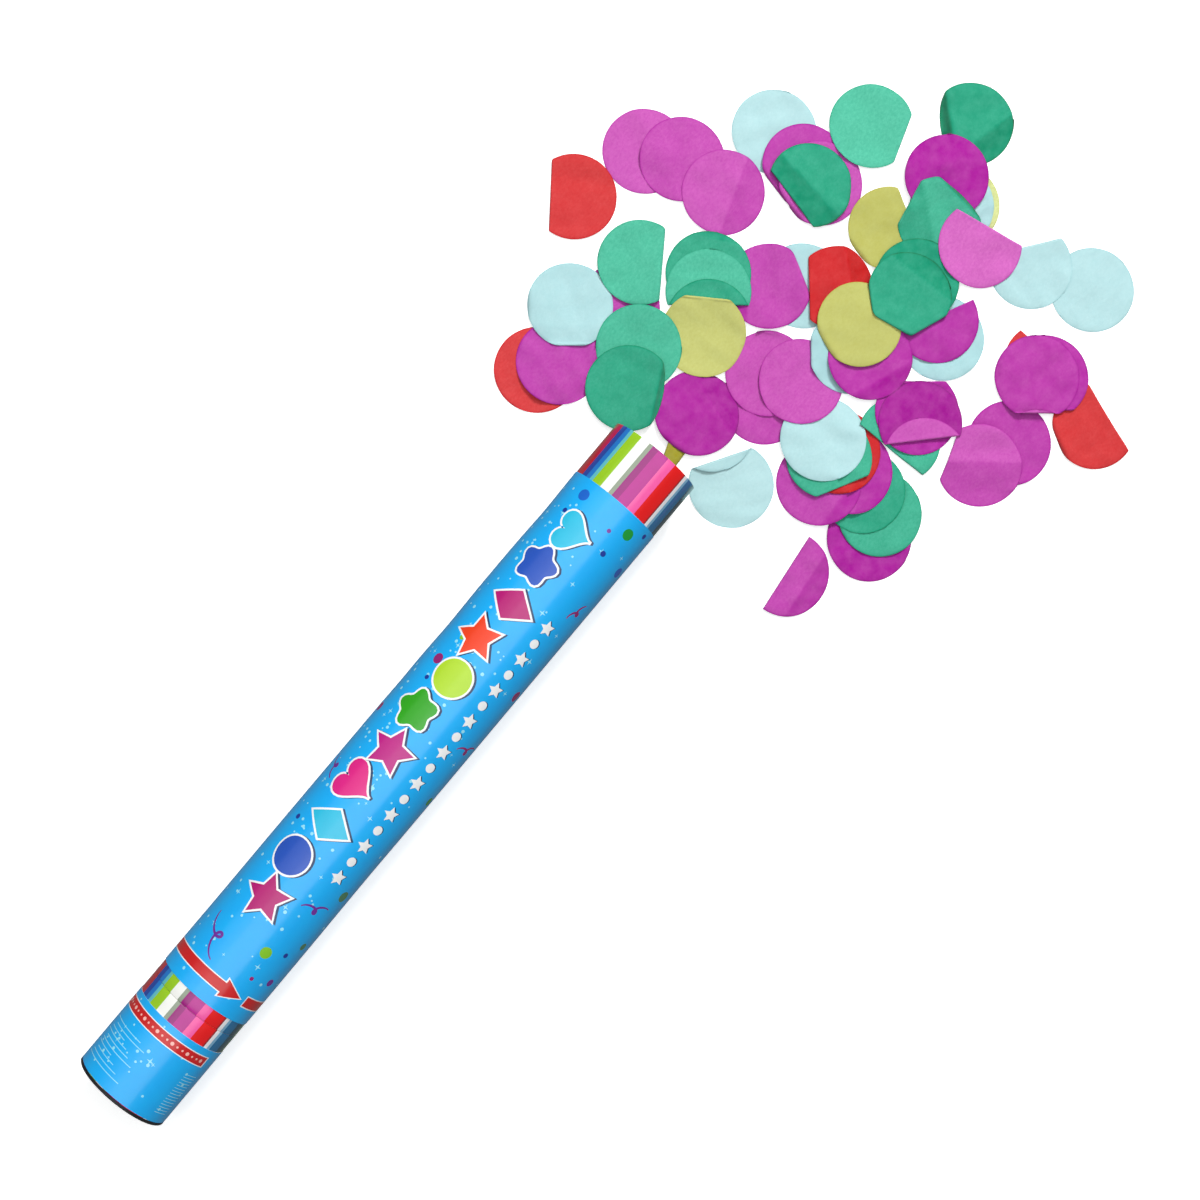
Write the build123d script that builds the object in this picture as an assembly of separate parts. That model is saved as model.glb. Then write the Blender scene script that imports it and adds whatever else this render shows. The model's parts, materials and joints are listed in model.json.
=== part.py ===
from build123d import *
import os
from math import atan, cos, hypot, radians, sin

# Confetti popper lying on its side, in millimetres.
# The tube's axis is +X, from the closed base to the open mouth, and +Z is up.
# The origin is the middle of the base cap's flat face.

# Clearances
glue_gap = 0.05
run_gap = 0.4
seal_gap = 0.08
overrun = 1.0

# Tubes and printed wraps
overall_length = 400.0
label_d = 50.0
label_t = 0.2
tube_wall = 2.0
handle_length = 55.0
twist_line_gap = 0.4
bare_ring_w = 14.5
muzzle_band_w = 34.5
rim_chamfer = 0.4

# Base cap
cap_flange_t = 1.6
cap_chamfer = 0.5
cap_skirt_l = 14.0
cap_skirt_wall = 1.2
cap_rib_count = 6
cap_rib_w = 1.4
cap_rib_l = 9.0

# Swivel sleeve and the snap ring in its groove
sleeve_wall = 2.65
sleeve_grip_l = 28.0
sleeve_reach = 26.0
sleeve_lead = 0.8
groove_setback = 8.0
groove_w = 4.4
groove_depth = 1.2
ring_side_gap = 0.3
ring_split_angle = 24.0

# Air canister, its foot pad, fill plug and spacer ring
pad_t = 3.0
pad_hole_r = 8.0
can_wall = 0.8
can_foot_bevel = 4.0
can_dish_h = 4.0
can_dish_flat_r = 7.0
can_shoulder_l = 10.0
can_shoulder_shares = (0.6, 0.32)
fill_hole_r = 3.0
fill_head_r = 5.5
fill_head_t = 1.2
spacer_w = 8.0
spacer_setback = 4.0
neck_l = 6.0
neck_wall = 3.0
bead_t = 3.0
bead_proud = 2.5

# Valve: gasket, ferrule, slotted tower and its cap
seat_bore_r = 6.0
gasket_t = 1.5
body_flange_t = 3.0
tower_step = 1.5
tower_wall = 2.5
ferrule_wall = 1.0
ferrule_lip_t = 1.2
tower_cap_t = 2.0
tower_cap_wall = 1.4
tower_cap_skirt_l = 5.0

# Valve plug, its seal, cam pins and return spring
plug_lift = 9.0
plug_twist = 90.0
plug_head_l = 10.0
nose_dip = 1.5
seal_w = 1.1
pin_count = 2
pin_r = 1.5
pin_gap = 0.25
pin_root_r = 3.0
spring_l = 18.0
spring_wire_w = 1.0
spring_turns = 4
spring_turn_sections = 8
boss_h = 2.0
boss_r = 3.8

# Cam collar and vented bulkhead
collar_wall = 3.0
collar_edge = 2.0
bulkhead_t = 3.0
bulkhead_skirt_wall = 1.6
vent_count = 8
vent_edge = 1.4

# Wad
wad_clear = 2.0
wad_card_t = 1.5
wad_foam_t = 6.0

# Spilled tissue confetti
disc_d = 43.5
sheet_t = 0.2
sheet_gap = 0.15

# Radii that follow from the sizes above
label_r = label_d / 2
tube_r = label_r - label_t - glue_gap
bore_r = tube_r - tube_wall
fitted_r = bore_r - glue_gap
running_r = bore_r - run_gap
can_r = fitted_r - sleeve_wall - glue_gap
neck_r = seat_bore_r + neck_wall
bead_r = neck_r + bead_proud
tower_bore_r = seat_bore_r + tower_step
tower_r = tower_bore_r + tower_wall
tower_cap_r = tower_r + glue_gap + tower_cap_wall
collar_bore_r = tower_r + run_gap
collar_r = collar_bore_r + collar_wall
bulkhead_bore_r = tower_cap_r + run_gap
disc_r = disc_d / 2

# Stations along the axis, from the base face
handle_end = handle_length - twist_line_gap / 2
barrel_start = handle_length + twist_line_gap / 2
can_start = cap_flange_t + pad_t
sleeve_end = handle_length + sleeve_reach
shoulder = sleeve_end + spacer_setback + spacer_w
neck_start = shoulder + can_shoulder_l
bead_start = neck_start + neck_l
neck_top = bead_start + bead_t
body_start = neck_top + gasket_t
tower_floor = body_start + body_flange_t
plug_start = tower_floor + run_gap
pin_station = plug_start + plug_head_l / 2
plug_top = plug_start + plug_head_l
tower_top = plug_top + spring_l
ferrule_top = tower_floor + glue_gap + ferrule_lip_t
collar_start = ferrule_top + run_gap
cam_slope = atan(plug_lift / (radians(plug_twist) * collar_bore_r))
slot_half = (pin_r + pin_gap) / cos(cam_slope)
slot_start = pin_station - slot_half
slot_end = pin_station + plug_lift + slot_half
collar_end = slot_end + collar_edge
bulkhead_end = collar_end + bulkhead_t
wad_start = tower_top + tower_cap_t + wad_clear
wad_seat = wad_start - glue_gap
floor_level = -label_r

# The discs as they lie, the lowest first.  Each row has the colour and the place along and across
# the floor from the mouth, as shares of a disc's diameter.  A folded disc also has the way its fold
# faces in degrees, the fold's distance from the middle as a share of the radius, and whether the
# flap is turned over or under the sheet.
spill_shares = [
    ("magenta", 0.95, -2.52), ("green", 1.26, -2.43), ("green", 1.37, -2.14), ("magenta", 1.39, -0.56),
    ("pale_blue", 2.73, -0.04), ("yellow", 4.66, -0.82), ("pale_blue", 4.94, -2.68), ("red", -0.04, 1.69),
    ("magenta", 1.12, 1.45), ("magenta", 2.74, 2.38), ("pale_blue", 3.91, 1.38), ("green", 3.63, -1.23),
    ("magenta", 2.89, -3.08), ("red", 1.79, 2.66, 127, 0.53, "under"),
    ("magenta", 0.02, -2.05, 97, 0.00, "under"), ("yellow", 0.52, -0.01, 90, 0.00, "under"),
    ("green", 2.12, 0.90), ("pale_blue", 3.33, -1.69), ("magenta", 1.47, -1.92), ("pale_blue", 4.60, -0.78),
    ("magenta", 3.82, 0.85), ("red", 3.88, -2.82, -2, 0.17, "under"),
    ("green", 5.51, -0.35, 134, 0.80, "under"), ("pale_blue", 4.66, -1.94, 55, 0.44, "under"),
    ("magenta", 0.20, 1.56), ("magenta", 2.95, 1.99), ("magenta", 4.82, -0.51),
    ("magenta", 2.45, -2.98, 109, 0.72, "under"), ("magenta", 1.07, -1.66), ("red", 1.53, -1.74),
    ("magenta", 0.78, -0.05), ("red", 3.69, -3.72, -18, 0.38, "under"), ("magenta", 3.79, 0.57),
    ("magenta", 3.44, -1.50, 65, 0.05, "under"), ("pale_blue", 0.78, 1.88, -140, 0.90, "under"),
    ("magenta", 2.97, 1.36), ("green", 1.95, 0.76, -140, 0.27, "over"),
    ("yellow", 3.92, -0.39, -31, 0.46, "under"), ("magenta", 2.46, 0.26, -29, 0.74, "under"),
    ("green", 1.38, -1.55, -122, 0.80, "under"), ("green", 3.68, 0.65, 164, 0.56, "under"),
    ("red", 2.97, -0.37, 130, 0.62, "under"), ("magenta", 1.67, -0.38),
    ("green", 1.70, 1.58, -50, 0.48, "under"), ("magenta", 3.77, -2.92, -140, 0.72, "under"),
    ("magenta", 3.70, -2.83, -140, 0.70, "under"), ("green", 4.71, 0.55, -69, 0.77, "under"),
    ("pale_blue", 1.49, -1.36), ("magenta", 1.84, -0.73), ("yellow", 1.54, 0.46),
    ("pale_blue", 0.40, -0.98), ("green", 2.07, -2.05, -178, 0.27, "under"),
    ("pale_blue", 2.50, -0.96, 130, 0.90, "under"), ("green", 0.92, 0.96), ("magenta", 2.58, -1.18),
    ("yellow", 2.80, -0.83), ("green", 4.42, -0.77), ("magenta", 2.38, -2.12, -130, 0.50, "over"),
    ("green", 0.48, 0.74, -62, 0.77, "under"), ("green", 3.54, -1.00),
    ("magenta", 4.45, -1.32, 13, 0.43, "under"),
]


def across_axis(station):
    """Plane square to the tube at a station, with its own Z along the tube."""
    return Plane(origin=(station, 0, 0), x_dir=(0, 1, 0), z_dir=(1, 0, 0))


def turned(*edges):
    """Solid of revolution about the tube's axis from a closed outline of (station, radius)."""
    return revolve(make_face(Curve() + list(edges)), Axis.X)


def turned_points(*points):
    """Solid of revolution from straight runs between (station, radius) points."""
    return turned(Polyline(*points, close=True))


def ring(start, end, inner, outer):
    return turned_points((start, inner), (end, inner), (end, outer), (start, outer))


def round_bar(start, end, radius):
    return across_axis(start) * extrude(Circle(radius), amount=end - start)


def radial_bar(station, angle, start, end, radius):
    """Round bar that runs outwards from the axis, at an angle from +Y towards +Z."""
    bar = Pos(0, 0, start) * extrude(Circle(radius), amount=end - start)
    return Pos(station, 0, 0) * Rot(angle - 90, 0, 0) * bar


def angles(count):
    return [360 * index / count for index in range(count)]


# Barrel side

def barrel_tube():
    return turned_points(
        (barrel_start, bore_r), (overall_length - rim_chamfer, bore_r),
        (overall_length, bore_r + rim_chamfer), (overall_length, tube_r - rim_chamfer),
        (overall_length - rim_chamfer, tube_r), (barrel_start, tube_r))


def barrel_label():
    start = handle_length + bare_ring_w / 2
    return ring(start, overall_length - muzzle_band_w, label_r - label_t, label_r)


def cam_collar():
    """Sleeve with one helical slot for each pin: the slot climbs as the handle is twisted."""
    collar = ring(collar_start, collar_end, collar_bore_r, collar_r)
    climb = slot_end - slot_start
    turn_rate = plug_twist / plug_lift
    half_angle = radians(slot_half * turn_rate)
    inner = collar_bore_r - overrun
    outer = (collar_r + overrun) / cos(half_angle)
    corners = [(r * cos(a), r * sin(a)) for r, a in (
        (inner, -half_angle), (outer, -half_angle), (outer, half_angle), (inner, half_angle))]
    section = make_face(Polyline(*corners, close=True)).face()
    slot = Solid.extrude_linear_with_rotation(section, (0, 0, 0), (0, 0, climb), -climb * turn_rate)
    lead_angle = slot_half * turn_rate
    for angle in angles(pin_count):
        collar -= across_axis(slot_start) * Rot(0, 0, angle + lead_angle) * slot
    return collar


def bulkhead():
    """Vented plate across the barrel; its skirt is glued to the wall and seats the wad."""
    skirt_bore_r = fitted_r - bulkhead_skirt_wall
    plate = turned_points(
        (collar_end, bulkhead_bore_r), (bulkhead_end, bulkhead_bore_r), (bulkhead_end, skirt_bore_r),
        (wad_seat, skirt_bore_r), (wad_seat, fitted_r), (collar_end, fitted_r))
    vent_circle_r = (bulkhead_bore_r + skirt_bore_r) / 2
    vent_r = (skirt_bore_r - bulkhead_bore_r) / 2 - vent_edge
    vent = extrude(Circle(vent_r), amount=bulkhead_t + 2 * overrun)
    for angle in angles(vent_count):
        plate -= across_axis(collar_end - overrun) * Rot(0, 0, angle) * Pos(vent_circle_r, 0, 0) * vent
    return plate


def snap_ring():
    groove_end = sleeve_end - groove_setback
    inner = running_r - groove_depth + run_gap
    whole = ring(groove_end - groove_w + ring_side_gap, groove_end - ring_side_gap, inner, fitted_r)
    reach = fitted_r + overrun
    half = radians(ring_split_angle / 2)
    wedge = make_face(Polyline(
        (0, 0), (reach * cos(half), -reach * sin(half)), (reach * cos(half), reach * sin(half)),
        close=True))
    return whole - across_axis(groove_end - groove_w) * extrude(wedge, amount=groove_w)


# Handle side

def handle_tube():
    return ring(cap_flange_t, handle_end, bore_r, tube_r)


def handle_label():
    start = cap_flange_t + twist_line_gap
    return ring(start, handle_length - bare_ring_w / 2, label_r - label_t, label_r)


def base_cap():
    """Moulded end cap: flat flange, and a skirt with ribs that centre the canister's foot."""
    skirt_end = cap_flange_t + cap_skirt_l
    skirt_bore_r = fitted_r - cap_skirt_wall
    cap = turned_points(
        (0, 0), (cap_flange_t, 0), (cap_flange_t, skirt_bore_r), (skirt_end, skirt_bore_r),
        (skirt_end, fitted_r), (cap_flange_t, fitted_r), (cap_flange_t, label_r),
        (cap_chamfer, label_r), (0, label_r - cap_chamfer))
    rib_tip_r = can_r + glue_gap
    rib_depth = skirt_bore_r - rib_tip_r + cap_skirt_wall / 2
    rib = Box(rib_depth, cap_rib_w, cap_rib_l, align=(Align.MIN, Align.CENTER, Align.MIN))
    for angle in angles(cap_rib_count):
        cap += across_axis(skirt_end - cap_rib_l) * Rot(0, 0, angle) * Pos(rib_tip_r, 0, 0) * rib
    return cap


def swivel_sleeve():
    """Bush glued in the handle that runs in the barrel, with a groove for the snap ring."""
    start = handle_length - sleeve_grip_l
    inner = can_r + glue_gap
    groove_end = sleeve_end - groove_setback
    groove_r = running_r - groove_depth
    return turned_points(
        (start, inner), (sleeve_end, inner), (sleeve_end, running_r - sleeve_lead),
        (sleeve_end - sleeve_lead, running_r), (groove_end, running_r), (groove_end, groove_r),
        (groove_end - groove_w, groove_r), (groove_end - groove_w, running_r),
        (handle_end, running_r), (handle_end, fitted_r), (start, fitted_r))


def canister_pad():
    return ring(cap_flange_t, can_start, pad_hole_r, can_r)


def air_canister():
    """Drawn can with a dished base, a bevelled foot, a rounded-off shoulder and a beaded neck."""
    foot_r = can_r - can_foot_bevel
    foot_end = can_start + can_foot_bevel
    inner_r = can_r - can_wall
    corner = can_wall * 2 ** 0.5
    dish = can_start + can_dish_h
    along_share, drop_share = can_shoulder_shares
    bend = shoulder + along_share * can_shoulder_l
    bend_r = can_r - drop_share * (can_r - neck_r)
    return turned_points(
        (dish, fill_hole_r), (dish, can_dish_flat_r), (can_start, foot_r), (foot_end, can_r),
        (shoulder, can_r), (bend, bend_r), (neck_start, neck_r), (bead_start, neck_r),
        (bead_start, bead_r), (neck_top, bead_r), (neck_top, seat_bore_r),
        (neck_start - can_wall, seat_bore_r), (bend - can_wall / 2, bend_r - can_wall),
        (shoulder, inner_r), (foot_end + corner - can_wall, inner_r), (can_start + corner, foot_r),
        (dish + can_wall, can_dish_flat_r), (dish + can_wall, fill_hole_r))


def fill_plug():
    """Rubber plug with a head on each side of the can's base."""
    outside = can_start + can_dish_h
    inside = outside + can_wall
    stem_r = fill_hole_r - glue_gap
    return turned_points(
        (outside - fill_head_t, 0), (outside - fill_head_t, fill_head_r), (outside, fill_head_r),
        (outside, stem_r), (inside, stem_r), (inside, fill_head_r), (inside + fill_head_t, fill_head_r),
        (inside + fill_head_t, 0))


def canister_spacer():
    return ring(shoulder - spacer_w, shoulder, can_r + glue_gap, running_r)


def neck_gasket():
    return ring(neck_top, body_start, seat_bore_r, bead_r)


def crimp_ferrule():
    """Rolled ring that holds the valve's flange and gasket against the neck's bead."""
    bottom = bead_start - glue_gap
    inner = bead_r + glue_gap
    outer = inner + ferrule_wall
    lip_top = tower_floor + glue_gap
    return turned_points(
        (bottom - ferrule_lip_t, neck_r + glue_gap), (bottom, neck_r + glue_gap), (bottom, inner),
        (lip_top, inner), (lip_top, tower_r + glue_gap), (ferrule_top, tower_r + glue_gap),
        (ferrule_top, outer), (bottom - ferrule_lip_t, outer))


def valve_body():
    """Flange and tower; a straight slot through the tower guides each cam pin."""
    tower = turned_points(
        (body_start, seat_bore_r), (tower_floor, seat_bore_r), (tower_floor, tower_bore_r),
        (tower_top, tower_bore_r), (tower_top, tower_r), (tower_floor, tower_r),
        (tower_floor, bead_r), (body_start, bead_r))
    slot_w = 2 * (pin_r + pin_gap)
    slot_start_x = pin_station - pin_r - pin_gap
    slot = Box(tower_r + overrun, slot_w, plug_lift + slot_w, align=(Align.MIN, Align.CENTER, Align.MIN))
    for angle in angles(pin_count):
        tower -= across_axis(slot_start_x) * Rot(0, 0, angle) * slot
    return tower


def tower_cap():
    return turned_points(
        (tower_top - boss_h, 0), (tower_top - boss_h, boss_r), (tower_top, boss_r),
        (tower_top, tower_r + glue_gap), (tower_top - tower_cap_skirt_l, tower_r + glue_gap),
        (tower_top - tower_cap_skirt_l, tower_cap_r), (tower_top + tower_cap_t, tower_cap_r),
        (tower_top + tower_cap_t, 0))


# Valve plug

def valve_plug():
    """Plug head with a sealed nose in the seat bore, and a hole for each cam pin."""
    head_r = tower_bore_r - run_gap
    nose_r = seat_bore_r - pin_gap
    nose_start = body_start - nose_dip
    seal_station = body_start + body_flange_t / 2
    groove_half = seal_w / 2 + glue_gap
    groove_r = seat_bore_r - seal_gap - seal_w - glue_gap
    plug = turned_points(
        (nose_start, 0), (nose_start, nose_r), (seal_station - groove_half, nose_r),
        (seal_station - groove_half, groove_r), (seal_station + groove_half, groove_r),
        (seal_station + groove_half, nose_r), (plug_start, nose_r), (plug_start, head_r),
        (plug_top, head_r), (plug_top, boss_r), (plug_top + boss_h, boss_r), (plug_top + boss_h, 0))
    for angle in angles(pin_count):
        plug -= radial_bar(pin_station, angle, pin_root_r - glue_gap, head_r + overrun, pin_r + glue_gap)
    return plug


def plug_seal():
    """Square-cut ring in the nose's groove."""
    seal_start = body_start + (body_flange_t - seal_w) / 2
    outer = seat_bore_r - seal_gap
    return ring(seal_start, seal_start + seal_w, outer - seal_w, outer)


def cam_pins():
    tip_r = collar_r - run_gap
    return [radial_bar(pin_station, angle, pin_root_r, tip_r, pin_r) for angle in angles(pin_count)]


def plug_spring():
    """Square-wire return spring between the plug's head and the tower's cap."""
    middle_r = (boss_r + tower_bore_r) / 2
    rise = spring_l - 2 * glue_gap - spring_wire_w
    steps = spring_turns * spring_turn_sections
    wire = Plane.XZ * Rectangle(spring_wire_w, spring_wire_w)
    sections = []
    for step in range(steps + 1):
        turn = Rot(0, 0, 360 * step / spring_turn_sections)
        climb = spring_wire_w / 2 + rise * step / steps
        sections.append((turn * Pos(middle_r, 0, climb) * wire).face())
    return across_axis(plug_top + glue_gap) * loft(sections)


# Wad

def wad_card():
    return round_bar(wad_start, wad_start + wad_card_t, running_r)


def wad_foam():
    return round_bar(wad_start + wad_card_t, wad_start + wad_card_t + wad_foam_t, running_r)


# Spilled confetti

def sheet_outline(row):
    """Plan of one disc about its own middle, without what is folded away."""
    if len(row) == 3:
        return Circle(disc_r)
    kept = Rectangle(2 * disc_d, 2 * disc_d, align=(Align.MAX, Align.CENTER))
    return Rot(0, 0, row[3]) * (Circle(disc_r) & Pos(row[4] * disc_r, 0) * kept)


def pile_levels(rows):
    """How many sheets each disc lies above the floor: one more than all it overlaps."""
    plans = [Pos(row[1] * disc_d, row[2] * disc_d) * sheet_outline(row) for row in rows]
    levels = []
    for row, plan in zip(rows, plans):
        below = [0]
        for other, other_plan, level in zip(rows, plans, levels):
            near = hypot(row[1] - other[1], row[2] - other[2]) < 1
            if near and plan.distance_to(other_plan) < sheet_gap:
                below.append(level + (1 if len(other) == 3 else 2))
        levels.append(max(below))
    return levels


def folded_sheet(row):
    """Disc folded along a chord, with its flap laid over or under the sheet."""
    fold = row[4] * disc_r
    pitch = sheet_t + sheet_gap
    flap_level, sheet_level = (pitch, 0) if row[5] == "over" else (0, pitch)
    sheet = extrude(sheet_outline(row), amount=sheet_t)
    flap = mirror(Circle(disc_r) & Pos(fold, 0) * Rectangle(
        2 * disc_d, 2 * disc_d, align=(Align.MIN, Align.CENTER)), about=Plane.YZ.offset(fold))
    half_chord = (disc_r ** 2 - fold ** 2) ** 0.5
    edge = Box(sheet_t, 2 * half_chord - sheet_t, pitch + sheet_t,
               align=(Align.MAX, Align.CENTER, Align.MIN))
    turned_down = Pos(0, 0, flap_level) * extrude(flap, amount=sheet_t) + Pos(fold, 0, 0) * edge
    return Pos(0, 0, sheet_level) * sheet + Rot(0, 0, row[3]) * turned_down


def confetti(colour):
    """All the discs of one colour, each a solid of its own on its place in the pile."""
    flat_sheet = extrude(Circle(disc_r), amount=sheet_t)
    discs = []
    for row, level in zip(spill_shares, pile_levels(spill_shares)):
        if row[0] != colour:
            continue
        place = Pos(overall_length + row[1] * disc_d, row[2] * disc_d,
                    floor_level + level * (sheet_t + sheet_gap))
        discs.append(place * (flat_sheet if len(row) == 3 else folded_sheet(row)))
    return discs


nodes = [
    barrel_tube, barrel_label, cam_collar, bulkhead, snap_ring,
    handle_tube, handle_label, base_cap, swivel_sleeve, canister_pad, air_canister, fill_plug,
    canister_spacer, neck_gasket, crimp_ferrule, valve_body, tower_cap,
    valve_plug, plug_seal, cam_pins, plug_spring, wad_card, wad_foam,
]

os.makedirs("parts", exist_ok=True)
for node in nodes:
    made = node()
    solids = made if isinstance(made, list) else [made]
    export_step(Compound(children=solids), f"parts/{node.__name__}.step")
for colour in ("magenta", "green", "pale_blue", "yellow", "red"):
    export_step(Compound(children=confetti(colour)), f"parts/confetti_{colour}.step")
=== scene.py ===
"""Looks of a confetti popper that lies on its side, with its shot spilled before its mouth.

Lengths are metres in the frame's axes: +X runs along the tube to its mouth and +Z is up.
An angle on the tube is in degrees from its top line, growing towards -Y.
"""
import json
import math

import bmesh
import bpy
import numpy as np
from mathutils import Euler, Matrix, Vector
from mathutils.geometry import delaunay_2d_cdt


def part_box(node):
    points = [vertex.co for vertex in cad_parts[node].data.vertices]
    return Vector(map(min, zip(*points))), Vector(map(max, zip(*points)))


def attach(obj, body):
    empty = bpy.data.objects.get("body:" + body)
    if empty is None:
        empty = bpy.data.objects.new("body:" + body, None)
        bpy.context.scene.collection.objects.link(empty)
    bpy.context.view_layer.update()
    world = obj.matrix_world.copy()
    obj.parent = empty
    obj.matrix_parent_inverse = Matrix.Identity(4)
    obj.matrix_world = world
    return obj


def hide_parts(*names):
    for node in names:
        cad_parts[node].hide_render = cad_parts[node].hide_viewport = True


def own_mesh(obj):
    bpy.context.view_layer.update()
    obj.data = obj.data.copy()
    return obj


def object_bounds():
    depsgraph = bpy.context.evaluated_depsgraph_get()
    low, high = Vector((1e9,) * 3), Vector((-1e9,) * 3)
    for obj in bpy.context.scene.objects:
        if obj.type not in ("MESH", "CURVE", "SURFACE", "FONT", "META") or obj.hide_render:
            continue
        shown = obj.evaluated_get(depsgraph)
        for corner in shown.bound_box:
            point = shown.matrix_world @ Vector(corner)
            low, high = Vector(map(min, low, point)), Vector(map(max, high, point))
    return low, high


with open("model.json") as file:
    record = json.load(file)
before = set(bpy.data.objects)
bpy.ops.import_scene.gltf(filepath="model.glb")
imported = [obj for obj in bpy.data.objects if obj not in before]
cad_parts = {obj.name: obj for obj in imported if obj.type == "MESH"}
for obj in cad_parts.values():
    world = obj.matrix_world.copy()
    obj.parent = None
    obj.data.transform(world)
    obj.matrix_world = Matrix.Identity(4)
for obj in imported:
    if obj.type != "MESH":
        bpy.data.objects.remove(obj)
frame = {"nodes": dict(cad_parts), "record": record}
cad_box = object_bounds()

mm = 0.001


def radii(node):
    """Least and greatest distance of a CAD node's points from the tube's axis."""
    points = np.array([v.co for v in frame["nodes"][node].data.vertices])
    reach = np.hypot(points[:, 1], points[:, 2])
    return reach.min(), reach.max()


def span(node):
    """First and last station of a CAD node."""
    low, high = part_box(node)
    return low.x, high.x


# Places that the frame gives
mouth = span("barrel_tube")[1]
floor_level = cad_box[0].z
wrap_inner_r, wrap_r = radii("barrel_label")

# Camera of the photograph, whose frame is square
photo_side = 1200
photo_focal = 1997.6
sensor_width = 36.0
camera_place = (0.2635, 0.0, 0.9770)
camera_turn = (0.0346, -0.0618, -0.8737)


def srgb(red, green, blue):
    """Linear colour from the 0 to 255 values that a screen shows."""
    shares = np.array((red, green, blue)) / 255
    linear = np.where(shares <= 0.04045, shares / 12.92, ((shares + 0.055) / 1.055) ** 2.4)
    return (*(float(value) for value in linear), 1.0)


# Materials

# sockets of the node that mixes two colours, which has several of each name
mix_factor, mix_first, mix_second, mix_result = 0, 6, 7, 2
# most values of a noise lie between these
noise_low, noise_high = 0.3, 0.7


class Surface:
    """A Principled material, with short calls for the nodes that vary it."""

    def __init__(self, name, **settings):
        self.material = bpy.data.materials.new(name)
        self.material.use_nodes = True
        self.tree = self.material.node_tree
        self.shader = self.tree.nodes["Principled BSDF"]
        self.place = self.add("ShaderNodeTexCoord").outputs["Object"]
        for socket, value in settings.items():
            self.shader.inputs[socket.replace("_", " ")].default_value = value

    def feed(self, socket, source):
        """Links a socket to another one, or sets its value."""
        if isinstance(source, bpy.types.NodeSocket):
            self.tree.links.new(source, socket)
        else:
            socket.default_value = source

    def add(self, kind, links=(), **settings):
        """A new node with these settings, and with its sockets fed."""
        node = self.tree.nodes.new(kind)
        for name, value in settings.items():
            setattr(node, name, value)
        for socket, source in dict(links).items():
            self.feed(node.inputs[socket], source)
        return node

    def set(self, socket, source):
        """Links a socket of the shader."""
        self.tree.links.new(source, self.shader.inputs[socket])

    def noise(self, size, detail=3.0, stretch=None, rough=0.55):
        """Noise from 0 to 1 whose lumps are about this size, and longer along axes of a small stretch."""
        place = self.place
        if stretch:
            place = self.add("ShaderNodeMapping", {"Vector": place, "Scale": stretch}).outputs["Vector"]
        links = {"Vector": place, "Scale": 1 / size, "Detail": detail, "Roughness": rough}
        return self.add("ShaderNodeTexNoise", links).outputs["Fac"]

    def spread(self, value, low=0.0, high=1.0):
        """A noise spread between two values."""
        links = {"Value": value, "From Min": noise_low, "From Max": noise_high,
                 "To Min": low, "To Max": high}
        return self.add("ShaderNodeMapRange", links).outputs["Result"]

    def blend(self, factor, first, second, how="MIX"):
        """A mix of two colours."""
        node = self.add("ShaderNodeMix", data_type="RGBA", blend_type=how)
        for socket, source in ((mix_factor, factor), (mix_first, first), (mix_second, second)):
            self.feed(node.inputs[socket], source)
        return node.outputs[mix_result]

    def attribute(self, name, output):
        """A value that the mesh itself stores."""
        return self.add("ShaderNodeAttribute", attribute_name=name).outputs[output]

    def bump(self, height, depth, strength, below=None):
        """A relief, over another one if that is given."""
        links = {"Height": height, "Distance": depth, "Strength": strength}
        if below is not None:
            links["Normal"] = below
        return self.add("ShaderNodeBump", links).outputs["Normal"]

    def finish(self, colour, scuffs, rough, height, depth, strength, below=None):
        """The material, once it has its colour, the roughness that scuffs spread, and a relief."""
        self.set("Base Color", colour)
        self.set("Roughness", self.spread(scuffs, *rough))
        self.set("Normal", self.bump(height, depth, strength, below))
        return self.material


def printed(name, rough, grain):
    """Ink on paper or film: the colour is the mesh's own ink, a little uneven, under a gloss."""
    surface = Surface(name, Specular_IOR_Level=0.75)
    uneven = surface.spread(surface.noise(9 * mm), high=0.10)
    colour = surface.blend(uneven, surface.attribute("ink", "Color"), srgb(255, 255, 255), "SOFT_LIGHT")
    scuffs = surface.noise(1.6 * mm, detail=6.0, stretch=(0.25, 1.0, 1.0))
    relief = surface.noise(grain, detail=2.0)
    return surface.finish(colour, scuffs, rough, relief, depth=0.02 * mm, strength=0.35)


def raw_card(name, dark, light):
    """Bare board with short fibres that lie along the wound ply."""
    surface = Surface(name, Specular_IOR_Level=0.2)
    fibres = surface.noise(0.5 * mm, detail=6.0, stretch=(0.2, 1.0, 1.0))
    colour = surface.blend(surface.spread(fibres), dark, light)
    scuffs = surface.noise(3 * mm)
    return surface.finish(colour, scuffs, (0.75, 0.95), fibres, depth=0.08 * mm, strength=0.5)


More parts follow.
